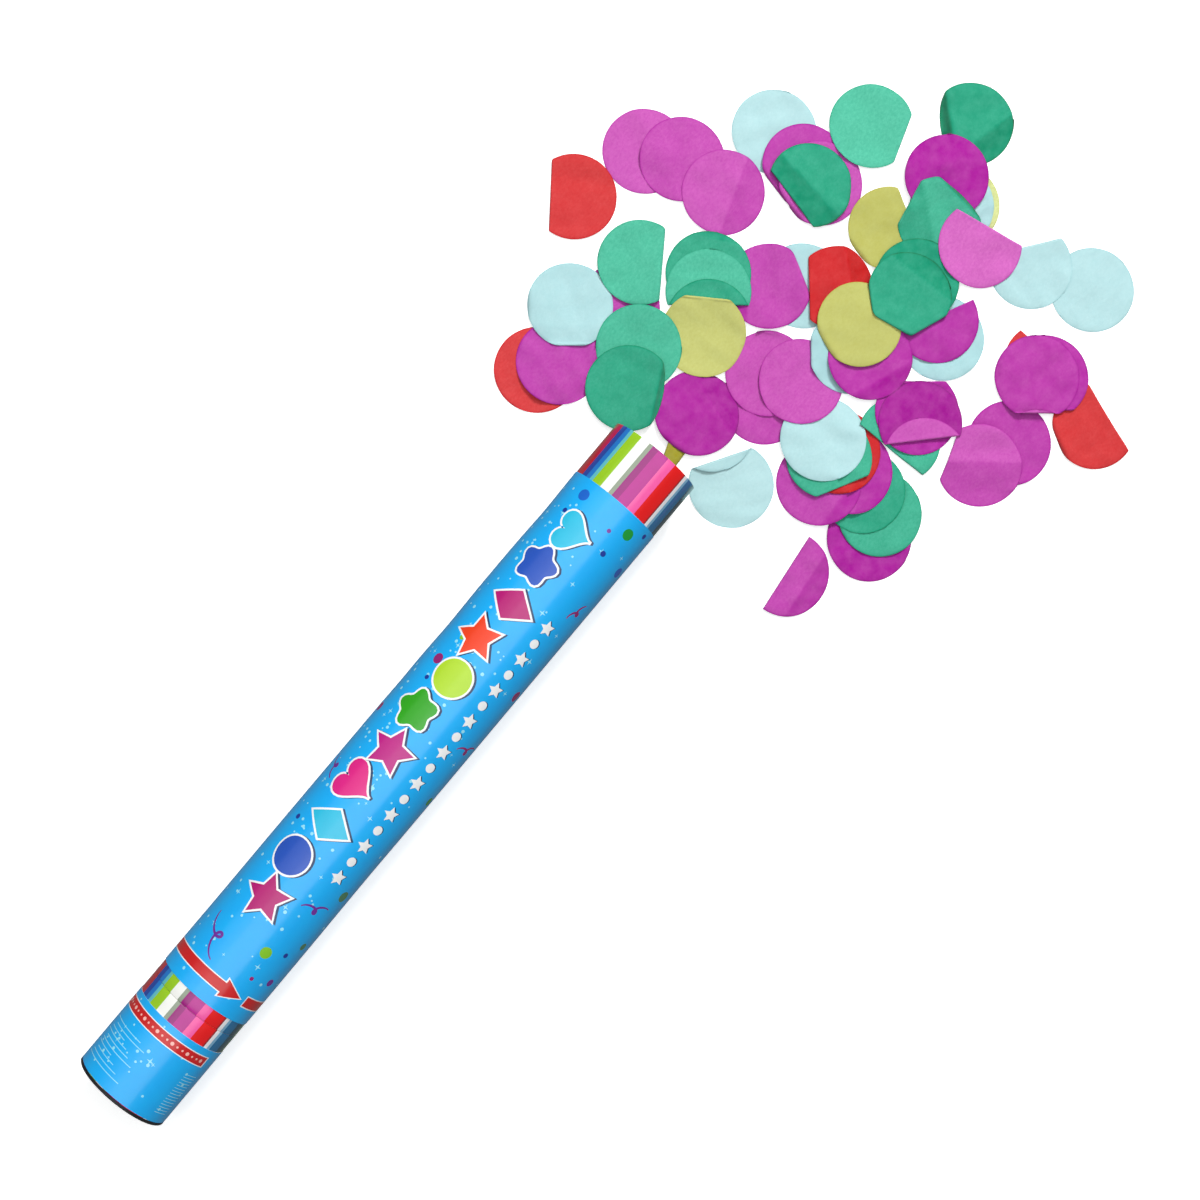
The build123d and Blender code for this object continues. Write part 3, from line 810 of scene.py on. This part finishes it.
def handle_print():
    """Print of the short wrap: a red band with a white edge and dots, and plain ruled lines."""
    design = ground_print("handle_label", handle_sparks, handle_back_seed)
    for ink, wide in ((white_ink, band_edge), (red_ink, 0.0)):
        extra = math.degrees(wide / wrap_r)
        near, far = band_station - band_half - wide, band_station + band_half + wide
        design.band(ink, near, far, band_angles[0] - extra, band_angles[1] + extra)
    for i, line in enumerate(ruled_stations):
        first, last = ruled_starts[i % len(ruled_starts)], ruled_ends[i % len(ruled_ends)]
        design.band(glitter_ink, line, line + ruled_width, first, last, ruled_step)
    for line in short_stations:
        design.band(glitter_ink, line, line + short_width, *short_angles, ruled_step)
    for i, angle in enumerate(band_dot_angles):
        size = band_dot_small if i % band_dot_large_every else band_dot_large
        design.shape(band_dot, blush_ink, band_station, angle, size)
    return design


# Return spring of the valve

spring_wire_r = 0.5 * mm
spring_turns, spring_closed_turns = 6, 1.0
turn_steps, wire_sides = 36, 12
wire_sharp = math.radians(60)


def return_spring():
    """Round-wire spring with closed ends, which rides on the plug."""
    low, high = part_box("plug_spring")
    middle_r = high.z - spring_wire_r
    turns = np.linspace(0, spring_turns, turn_steps * spring_turns + 1)
    closed = 2 * spring_wire_r * spring_closed_turns
    knots = [0, spring_closed_turns, spring_turns - spring_closed_turns, spring_turns]
    start, end = low.x + spring_wire_r, high.x - spring_wire_r
    station = np.interp(turns, knots, [start, start + closed, end - closed, end])
    angle = 2 * math.pi * turns
    path = stacked(station, middle_r * np.cos(angle), middle_r * np.sin(angle))
    run = unit(np.gradient(path, axis=0))
    out = stacked(0 * angle, np.cos(angle), np.sin(angle))
    side = np.cross(run, out)
    around = np.arange(wire_sides) * 2 * math.pi / wire_sides
    ring = np.cos(around)[None, :, None] * out[:, None] + np.sin(around)[None, :, None] * side[:, None]
    points = (path[:, None] + spring_wire_r * ring).reshape(-1, 3)
    faces = grid_faces(len(path), wire_sides, columns_meet=True).tolist()
    index = range(len(points))
    faces += [index[:wire_sides], index[:-wire_sides - 1:-1]]
    piece = new_piece("return_spring", points, faces, [finishes["steel"]], "plug", "steel", "plug_spring")
    piece.data.set_sharp_from_angle(angle=wire_sharp)
    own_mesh(piece)


# Foam pieces

foam_edge, foam_edge_steps = 0.9 * mm, 6
foam_step, foam_segments = 0.7 * mm, 144
foam_crown = 0.5 * mm
# most that the cut cells fall short of the foam's thickness and radius, as shares
foam_slack, foam_slack_round = 0.04, 0.005
weld_distance = 0.001 * mm


def foam_corner(x, radius, start):
    """Worn corner of a foam piece's section."""
    return lip_arc(x, radius, foam_edge, start, 90, foam_edge_steps)


def foam_profile(start, end, hole, outer):
    """Stations and radii round a foam disc's section: worn edges, and a crown where it has no hole."""
    faces = np.arange(hole + foam_edge if hole else 0.0, outer - foam_edge, foam_step)
    crown = 0.0 if hole else foam_crown
    front = [(end - crown * (r / outer) ** 2, r) for r in faces]
    rim = foam_corner(end - crown - foam_edge, outer - foam_edge, 0)
    rim += foam_corner(start + foam_edge, outer - foam_edge, 90)
    back = [(start, r) for r in faces[::-1]]
    if not hole:
        return np.array(front + rim + back)
    bore = foam_corner(start + foam_edge, hole + foam_edge, 180)
    bore += foam_corner(end - foam_edge, hole + foam_edge, 270)
    return np.array(front[1:] + rim + back[:-1] + bore)


def foam_disc(name, node, body, hole, seed):
    """A die-cut disc or ring of foam, with a surface of cut cells."""
    start, end = span(node)
    stations, reach = foam_profile(start, end, hole, radii(node)[1]).T
    around = np.arange(foam_segments) * 360 / foam_segments
    x, turn = np.meshgrid(stations, around, indexing="ij")
    loose = np.random.default_rng(seed).uniform(0, 1, x.shape)
    if not hole:
        # the points in the middle of each face stay in one place, to be welded
        loose[[0, -1]] = 0
    middle = (start + end) / 2
    x = middle + (x - middle) * (1 - foam_slack * loose)
    points = rolled(x, turn, reach[:, None] * (1 - foam_slack_round * loose)).reshape(-1, 3)
    faces = grid_faces(*x.shape, rows_meet=bool(hole), columns_meet=True)
    piece = new_piece(name, points, faces, [finishes["foam"]], body, "foam", node)
    welded = bmesh.new()
    welded.from_mesh(piece.data)
    bmesh.ops.remove_doubles(welded, verts=welded.verts, dist=weld_distance)
    bmesh.ops.recalc_face_normals(welded, faces=welded.faces)
    welded.to_mesh(piece.data)
    welded.free()


# Spilled tissue discs

disc_r = 21.75 * mm
tissue_t = 0.12 * mm
lie_gap = 0.06 * mm
rim_droop, rim_reach = 0.5 * mm, 1.2 * mm
# painted shade along each disc's rim, in place of the thin shadow at its edge: how deep, and how far in it
# reaches
rim_painted_shade, rim_shade_reach = 0.7, 0.35 * mm
spill_seed = 21
settle_rounds = 200
disc_sharp = math.radians(70)

# points of a disc: columns, rows and the angle of its outer columns, and the columns at a sharp fold, with
# the share of the fold by which they run past it
disc_columns, disc_rows, column_angle = 47, 37, 88
fold_columns, fold_overrun = 9, 0.1

# own shape of a disc: rise of its two curled sides in millimetres; creases, their rounding, turns in degrees
# and distance from the middle in radii; ripples, their length in millimetres and height as a share of it;
# and the share of all this that a bent disc keeps
curl_rises = (0.5, 3.2), (0.0, 1.5)
crease_count, crease_r, crease_turns, crease_shares = 2, 0.7 * mm, (-13, 13), (0.0, 0.7)
ripple_count, ripple_lengths, ripple_shares = 4, (8, 26), (0.006, 0.014)
bent_crumple = 0.8

# a bend past this turn is a fold, whose part beyond it is a layer of its own; between these shares of the
# turn, points belong to no layer
fold_turn = 90
fold_starts, fold_ends, in_the_fold = 0.1, 0.9, 9

# floor that the discs may cover: from behind the mouth and right of the axis, with its length and width
pile_behind, pile_right = 2 * disc_r, 10 * disc_r
pile_length, pile_width = 15 * disc_r, 19 * disc_r
pile_cell = 0.7 * mm
near_cells = [(i, j) for i in (-1, 0, 1) for j in (-1, 0, 1)]

# radius of a bend, how far it turns in degrees, whether it turns up or down, and how much painted shade
# darkens the tone of the part beyond it
bend_kinds = {
    "under": (0.9 * mm, 180, -1, 0.0), "over": (1.2 * mm, 172, 1, 0.0), "roll": (2.6 * mm, 170, -1, 0.2),
    "fall": (2.0 * mm, 62, -1, 0.45), "steep": (2.0 * mm, 70, -1, 0.9), "drop": (2.0 * mm, 38, -1, 0.35),
    "down": (1.5 * mm, 20, -1, 0.25), "up": (1.5 * mm, 24, 1, 0.0),
}

# lowest first: colour, the middle's place in the photograph in pixels, tones of its two sides, where 0 is
# the deep dye and 1 the pale one, and its bends: the way that a chord faces in the photograph, to the
# right and down, its distance from the middle in radii, and how the part beyond it is bent. A tone below 0
# is darker than the deep dye; on the yellow disc by the mouth it is painted shade.
spill_pixels = [
    ("magenta", 868.5, 539, -0.15, 0.6), ("green", 879, 514, 0.45, 0.7, (-0.9, 0.45, 0.9, "roll")),
    ("green", 862, 491, 0.2, 0.7), ("magenta", 764, 402, 0.35, 0.7), ("pale_blue", 803, 286, 0.3, 0.5),
    ("yellow", 957.5, 205, 1.7, 0.6), ("pale_blue", 1092, 290, 0.5, 0.5), ("red", 537, 370, 0.5, 0.6),
    ("magenta", 617, 308, 0.3, 0.7), ("magenta", 645, 151.5, 0.65, 0.8),
    ("pale_blue", 774, 132, 0.5, 0.5), ("magenta", 1009, 443.5, 0.2, 0.6),
    ("red", 574, 197, 0.4, 0.6, (-1, -0.055, 0.51, "under"), (1, 0.05, 0.92, "roll")),
    ("magenta", 787, 574, 0.35, 0.7, (-0.84, -0.55, 0, "under"), (0.84, 0.55, 0.45, "down")),
    # yellow disc by the mouth: its tone below the deep dye is painted shade, where the mouth's shadow falls
    ("yellow", 675, 428, -0.6, 0, (-0.94, -0.34, 0, "under"), (0.8, 0.6, 0.5, "under")),
    ("pale_blue", 942, 338.5, 0.2, 0.3),
    ("magenta", 851, 472, 0.3, 0.6, (0.97, 0.2, 0.2, "down")), ("pale_blue", 951, 207, 0.4, 0.5),
    ("magenta", 804, 166.5, 0.25, 0.7, (-0.8, 0.6, 0.75, "roll")),
    ("red", 1045, 365, 0.4, 0.6, (0.667, -0.745, 0.17, "under")),
    ("green", 972, 125, 0.1, 0.4, (-1, 0.14, 0.48, "fall"), (0.6, 0.8, 0.35, "down")),
    ("pale_blue", 1030, 267, 0.5, 0.6, (-0.25, -0.968, 0.44, "under")), ("magenta", 559, 362, 0.3, 0.7),
    ("magenta", 682, 159.5, 0.45, 0.8), ("magenta", 945.5, 178, -0.05, 0.6),
    ("magenta", 979, 467, 0.6, 0.8, (-0.93, -0.36, 0.72, "under"), (0, 1, -0.12, "down")),
    ("magenta", 818.5, 483.5, 0.3, 0.6, (0.8, 0.6, 0.6, "down")), ("red", 837, 452, 0.1, 0.5),
    ("magenta", 697, 413.5, 0, 0.5, (-0.6, 0.8, 0.85, "roll"), (0.15, -0.99, 0.86, "roll"),
     (0.85, -0.5, 0.4, "down")),
    ("red", 1093, 427, 0.35, 0.5, (0.852, -0.524, 0.38, "under"), (-0.93, 0.37, 0.8, "roll")),
    ("magenta", 820, 184, 0.5, 0.9, (-0.8, 0.6, 0.8, "roll")),
    ("magenta", 936, 321, 0.1, 0.7, (-0.42, -0.91, 0.05, "under")),
    ("pale_blue", 570, 306, 0.3, 0.3, (0, 1, 0.9, "under"), (-1, 0, 0.9, "roll"), (1, 0, 0.94, "roll")),
    ("magenta", 724, 193, 0.6, 0.8, (0.93, 0.36, 0.22, "down")),
    ("magenta", 768, 287, 0.35, 0.7, (0.93, -0.37, 0.73, "roll"), (-1, 0, 0.5, "down")),
    ("green", 708, 274, 0.3, 0.6, (0.25, -0.97, 0.8, "down"), (1, 0, 0.95, "roll")),
    ("green", 708, 292, 0.75, 0.2, (0, 1, 0.27, "over")),
    ("yellow", 890, 229, 0.2, 0.5, (0.95, -0.32, 0.46, "under"), (-0.8, 0.6, 0.85, "roll"),
     (0.5, -0.87, 0.85, "roll")),
    ("green", 828, 457, 0.4, 0.6, (0.38, 0.92, 0.72, "under"), (0.97, -0.23, 0.92, "roll")),
    ("green", 809, 187, 0.12, 0.5, (-0.8, 0.6, 0.52, "under"), (-0.73, 0.68, 0, "down"),
     (1, 0.1, 0.88, "roll")),
    ("red", 837, 289, 0.1, 0.6, (-1, 0, 0.63, "under"), (1, -0.15, 0.3, "drop")),
    ("magenta", 767.5, 374, 0.5, 0.8), ("green", 640, 263, 0.75, 0.8, (1, 0.1, 0.4, "roll")),
    ("magenta", 1045.5, 377.5, 0.05, 0.6, (0, 1, 0.74, "under")),
    ("magenta", 1036, 378, 0.15, 0.7, (0, 1, 0.8, "over")),
    ("green", 871, 126.5, 0.85, 0.9, (0.93, 0.37, 0.76, "under")), ("pale_blue", 822, 439.5, 0.5, 0.6),
    ("magenta", 800, 382, 0.55, 0.9, (-1, 0, 0.75, "up")),
    ("yellow", 703, 335, 0.6, 0.7, (0.1, -1, 0.82, "under"), (0.9, 0.44, 0.86, "roll")),
    ("pale_blue", 731, 485, 0.6, 0.4, (-0.33, -0.94, 0.6, "over")),
    ("green", 898, 440, 0.45, 0.7, (-0.61, 0.79, 0.27, "under")),
    ("magenta", 916, 413, 0, 0.5, (0, -1, 0.7, "under")),
    ("magenta", 919, 424, -0.25, 0.55, (0.13, 0.99, 0.35, "over")),
    ("pale_blue", 850, 352, 0.1, 0.2, (-1, 0, 0.9, "under")), ("green", 638.5, 348, 0.65, 0.8),
    ("magenta", 869, 359, 0.1, 0.6, (0.5, 0.87, 0.55, "down")),
    ("yellow", 858, 325.5, 0.4, 0.7, (-0.87, 0.5, 0.82, "roll")),
    ("green", 937, 222, 0.5, 0.3, (-0.86, -0.5, 0.78, "under"), (0.69, -0.72, 0.66, "steep"),
     (-0.95, 0.2, 0.2, "down")),
    ("green", 628, 389, 0.2, 0.5, (0.977, 0.21, 0.6, "fall")),
    ("green", 916, 282, 0, 0.5, (-0.7, 0.7, 0.8, "under")),
    ("green", 908, 295, 0.15, 0.7, (-1, 0.1, 0.9, "under"), (-0.47, 0.88, 0.84, "under"),
     (0.5, 0.87, 0.84, "under"), (0.6, -0.8, 0.45, "down")),
    ("magenta", 978.5, 246.5, 0.95, 0.8, (0.463, -0.886, 0.43, "under")),
]


def floor_place(right, down):
    """Place on the floor that the camera sees at a pixel of the photograph."""
    middle = photo_side / 2
    ray = Vector(((right - middle) / photo_focal, (middle - down) / photo_focal, -1.0))
    ray.rotate(Euler(camera_turn))
    eye = Vector(camera_place)
    return np.array(eye + ray * ((floor_level - eye.z) / ray.z))[:2]


def floor_way(right, down, way_right, way_down):
    """Unit direction on the floor that runs this way in the photograph, at a pixel."""
    way = floor_place(right + way_right, down + way_down) - floor_place(right, down)
    return way / np.linalg.norm(way)


class Pile:
    """Height of what already lies on the floor, on a square grid."""

    def __init__(self):
        self.corner = np.array((mouth - pile_behind, -pile_right))
        size = np.array((pile_length, pile_width)) / pile_cell
        self.height = np.full(size.astype(int), floor_level)

    def cells(self, plan):
        """Row and column of the cell at each place."""
        return np.moveaxis(np.round((plan - self.corner) / pile_cell).astype(int), -1, 0)

    def under(self, plan):
        """Highest point near each place."""
        row, column = self.cells(plan)
        return np.max([self.height[row + i, column + j] for i, j in near_cells], axis=0)

    def add(self, plan, top):
        """Raises the pile near each place to the top of what lies there."""
        row, column = self.cells(plan)
        for i, j in near_cells:
            np.maximum.at(self.height, (row + i, column + j), top)


def settled(shape, lowest):
    """Height of a sheet of this own shape that lies on what is below it and bridges the dips."""
    sag = lowest - shape
    for _ in range(settle_rounds):
        padded = np.pad(sag, 1, mode="edge")
        mean = (padded[2:, 1:-1] + padded[:-2, 1:-1] + padded[1:-1, 2:] + padded[1:-1, :-2]) / 4
        sag = np.maximum(lowest - shape, mean)
    return shape + sag


def disc_grid(bends):
    """Offsets of a disc's points across and along its first chord, with more columns at a sharp fold."""
    columns = disc_r * np.sin(np.radians(np.linspace(-column_angle, column_angle, disc_columns)))
    if bends and bends[0][-1] in ("under", "over"):
        _, _, share, kind = bends[0]
        radius, turn, *_ = bend_kinds[kind]
        steps = np.linspace(-fold_overrun, 1 + fold_overrun, fold_columns)
        curve = share * disc_r + radius * math.radians(turn) * steps
        apart = (columns < curve[0]) | (columns > curve[-1])
        columns = np.sort(np.concatenate((columns[apart], curve[curve < columns[-1]])))
    across = np.repeat(columns[:, None], disc_rows, axis=1)
    along = np.sin(np.radians(np.linspace(-90, 90, disc_rows))) * np.sqrt(disc_r ** 2 - across ** 2)
    return across, along


def own_shape(across, along, rng, crumpled):
    """Curled edges, creases, ripples and a drooping rim that a disc keeps by itself."""
    curl_way = rng.uniform(0, 2 * math.pi)
    lean = (across * math.cos(curl_way) + along * math.sin(curl_way)) / disc_r
    rise, other_rise = (rng.uniform(*limits) for limits in curl_rises)
    shape = crumpled * mm * np.where(lean > 0, rise, other_rise) * lean ** 2
    for _ in range(crease_count):
        way, kink = rng.uniform(0, 2 * math.pi), math.radians(rng.uniform(*crease_turns))
        beyond = across * math.cos(way) + along * math.sin(way) - rng.uniform(*crease_shares) * disc_r
        shape = shape + crumpled * math.tan(kink) * (np.hypot(beyond, crease_r) + beyond) / 2
    for _ in range(ripple_count):
        way, phase = rng.uniform(0, 2 * math.pi, 2)
        wave = rng.uniform(*ripple_lengths) * mm
        ripple = np.sin(2 * math.pi * (across * math.cos(way) + along * math.sin(way)) / wave + phase)
        shape = shape + crumpled * rng.uniform(*ripple_shares) * wave * ripple
    rim_gap = disc_r - np.hypot(across, along)
    return shape - rim_droop * np.exp(-rim_gap / rim_reach)


def bent(offset, shape, layer, facing, share, kind):
    """Offsets, heights and layers of a disc's points, and the shade painted on them, once a part is bent."""
    radius, degrees, sign, painted_shade = bend_kinds[kind]
    turn = math.radians(degrees)
    beyond = offset @ facing - share * disc_r
    turned = np.clip(beyond / radius, 0, turn)
    run = np.maximum(beyond - radius * turn, 0)
    shift = radius * np.sin(turned) + run * math.cos(turn) - np.maximum(beyond, 0)
    rise = radius * (1 - np.cos(turned)) + run * math.sin(turn)
    if degrees > fold_turn:
        entered = np.where(turned > fold_starts * turn, in_the_fold, layer)
        layer = np.where(turned > fold_ends * turn, sign, entered)
    # the part beyond the bend gets painted shade, which grows through the bend
    return offset + shift[..., None] * facing, shape + sign * rise, layer, painted_shade * turned / turn


def lie(row, pile, rng):
    """A disc that has come to rest on the pile, as a grid of points, and how much painted shade darkens
    each.
    """
    _, right, down, _, _, *bends = row
    any_turn = rng.uniform(0, 2 * math.pi)
    facing = np.array((math.cos(any_turn), math.sin(any_turn)))
    if bends:
        facing = floor_way(right, down, *bends[0][:2])
    across, along = disc_grid(bends)
    offset = across[..., None] * facing + along[..., None] * np.array((-facing[1], facing[0]))
    shape = own_shape(across, along, rng, bent_crumple if bends else 1.0)
    layer, painted_shade = np.zeros(across.shape), np.zeros(across.shape)
    for way_right, way_down, share, kind in bends:
        way = floor_way(right, down, way_right, way_down)
        offset, shape, layer, more = bent(offset, shape, layer, way, share, kind)
        painted_shade = painted_shade + more
    plan = floor_place(right, down) + offset
    clear = lie_gap + tissue_t / 2
    lowest = pile.under(plan) + clear
    for level in (-1, 0, 1):
        part = layer == level
        lowest = np.where(part, np.maximum(lowest, pile.under(plan) + clear), lowest)
        top = settled(shape, lowest)
        pile.add(plan[part], top[part] + tissue_t / 2)
    # painted shade along the rim, in place of the thin shadow at the disc's edge
    rim = np.exp((np.hypot(across, along) - disc_r) / rim_shade_reach)
    return np.concatenate((plan, top[..., None]), axis=-1), painted_shade + rim_painted_shade * rim


def thick_sheet(grid):
    """Points and faces of a thin closed sheet about a grid of points, and which points are its top."""
    normal = unit(np.cross(np.gradient(grid, axis=0), np.gradient(grid, axis=1)))
    half = normal * tissue_t / 2
    points = np.concatenate(((grid + half).reshape(-1, 3), (grid - half).reshape(-1, 3)))
    rows, columns = grid.shape[:2]
    count = rows * columns
    top, edge = grid_faces(rows, columns), grid_border(rows, columns)
    after = np.roll(edge, -1)
    rim = stacked(edge, edge + count, after + count, after)
    faces = np.concatenate((top, top[:, ::-1] + count, rim))
    return points, faces, np.arange(len(points)) < count


def spill():
    """All the discs, laid one on another from the lowest, as one piece of each colour."""
    pile, rng = Pile(), np.random.default_rng(spill_seed)
    made = {}
    for i, row in enumerate(spill_pixels):
        colour, _, _, tone, back_tone, *_ = row
        grid, painted_shade = lie(row, pile, rng)
        points, faces, is_top = thick_sheet(grid)
        # painted shade, from the bends and along the rim, darkens each side's tone
        tones = np.where(is_top, tone, back_tone) - np.tile(painted_shade.ravel(), 2)
        own_place = np.full(len(points), i * disc_r)
        made.setdefault(colour, []).append((points, faces, tones, own_place))
    for colour, sheets in made.items():
        discs_of(colour, *zip(*sheets))


def discs_of(colour, points, faces, tones, own_places):
    """The piece that holds all the discs of a colour, with a tone and a place of its own for each."""
    starts = np.cumsum([0] + [len(sheet) for sheet in points[:-1]])
    faces = np.concatenate([sheet + start for sheet, start in zip(faces, starts)])
    points = np.concatenate(points)
    slot, node = f"tissue_{colour}", f"confetti_{colour}"
    piece = new_piece(f"{colour}_discs", points, faces, [finishes[slot]], "confetti", slot, node)
    for name, values in (("tone", tones), ("disc", own_places)):
        layer = piece.data.attributes.new(name, "FLOAT", "POINT")
        layer.data.foreach_set("value", np.concatenate(values).astype(np.float32))
    piece.data.set_sharp_from_angle(angle=disc_sharp)


# Stage, light and camera

stage_half = 30.0
stage_sides = 64

# panels of light above the tube: the distances to its +Y side that each lies between, and its strength
panels = {
    "main_panel": (-0.94, 0.55, 1.4), "side_panel": (0.55, 1.2, 0.8), "far_panel": (1.2, 2.4, 0.5),
    "fill_panel": (-2.2, -0.94, 0.12),
}
panel_height, panel_length, panel_middle = 1.5, 1.6, 0.25
key_size, key_power = 0.7, 66.0
key_place, key_aim = (2.4, 0.65, 2.0), (0.45, 0.0, 0.0)
world_strength = 0.2


def paper(name, points, faces, material):
    """A piece of the stage that throws no light on the object."""
    sheet = mesh_object(name, points, faces, [material])
    sheet.visible_diffuse = False
    sheet.visible_glossy = False
    return sheet


def white_floor():
    """A wide white floor, and a round wall far behind it that only the camera sees."""
    surface = Surface("white_paper", Roughness=0.9, Specular_IOR_Level=0.1, Emission_Color=white_ink,
                      Emission_Strength=0.55)
    shade = surface.noise(0.2)
    surface.set("Base Color", surface.blend(shade, srgb(246, 246, 246), srgb(250, 250, 250)))
    signs = ((-1, -1), (1, -1), (1, 1), (-1, 1))
    corners = [(x * stage_half, y * stage_half, floor_level) for x, y in signs]
    paper("floor", corners, [(0, 1, 2, 3)], surface.material)
    turns = np.arange(stage_sides) * 2 * math.pi / stage_sides
    foot = [(stage_half * math.cos(a), stage_half * math.sin(a), floor_level) for a in turns]
    top = [(x, y, stage_half) for x, y, _ in foot]
    after = [(i + 1) % stage_sides for i in range(stage_sides)]
    walls = [(i, i + stage_sides, j + stage_sides, j) for i, j in enumerate(after)]
    wall = paper("backdrop", foot + top, walls, surface.material)
    wall.visible_shadow = False


def softbox(name, near, far, strength):
    """A long panel of light above the tube, between two distances to its +Y side."""
    light = bpy.data.lights.new(name, "AREA")
    light.shape = "RECTANGLE"
    light.size, light.size_y = panel_length, far - near
    light.energy = strength * math.pi * light.size * light.size_y
    lamp = linked(name, light)
    lamp.location = (panel_middle, (near + far) / 2, panel_height)


def key_light():
    """A broad lamp beyond the mouth, which models the folds and edges of the paper."""
    light = bpy.data.lights.new("key", "AREA")
    light.size, light.energy = key_size, key_power
    lamp = linked("key", light)
    lamp.location = key_place
    aim = Vector(key_aim) - lamp.location
    lamp.rotation_euler = aim.to_track_quat("-Z", "Y").to_euler()


def studio():
    """All the lamps, in a dim white world."""
    key_light()
    for name, (near, far, strength) in panels.items():
        softbox(name, near, far, strength)
    world = bpy.data.worlds.new("studio")
    world.use_nodes = True
    background = world.node_tree.nodes["Background"]
    background.inputs["Color"].default_value = (1.0, 1.0, 1.0, 1.0)
    background.inputs["Strength"].default_value = world_strength
    bpy.context.scene.world = world
    bpy.context.scene.view_settings.view_transform = "Standard"


def camera():
    """The camera of the photograph."""
    lens = bpy.data.cameras.new("photo_camera")
    lens.sensor_width = sensor_width
    lens.lens = photo_focal * sensor_width / photo_side
    eye = linked("photo_camera", lens)
    eye.location = camera_place
    eye.rotation_euler = camera_turn
    bpy.context.scene.camera = eye


finish_nodes()
striped_tube("striped_barrel", "barrel_tube", "barrel", first_turn=0.0, longer=(butt_reach, 0.0))
striped_tube("striped_handle", "handle_tube", "handle", first_turn=handle_turn, longer=(0.0, butt_reach))
printed_wrap("barrel_wrap", "barrel_label", "barrel", barrel_print(), barrel_wrap_longer)
printed_wrap("handle_wrap", "handle_label", "handle", handle_print(), handle_wrap_longer)
return_spring()
foam_disc("foam_wad", "wad_foam", "wad", hole=0.0, seed=11)
foam_disc("foam_pad", "canister_pad", "handle", hole=radii("canister_pad")[0], seed=12)
spill()
white_floor()
studio()
camera()
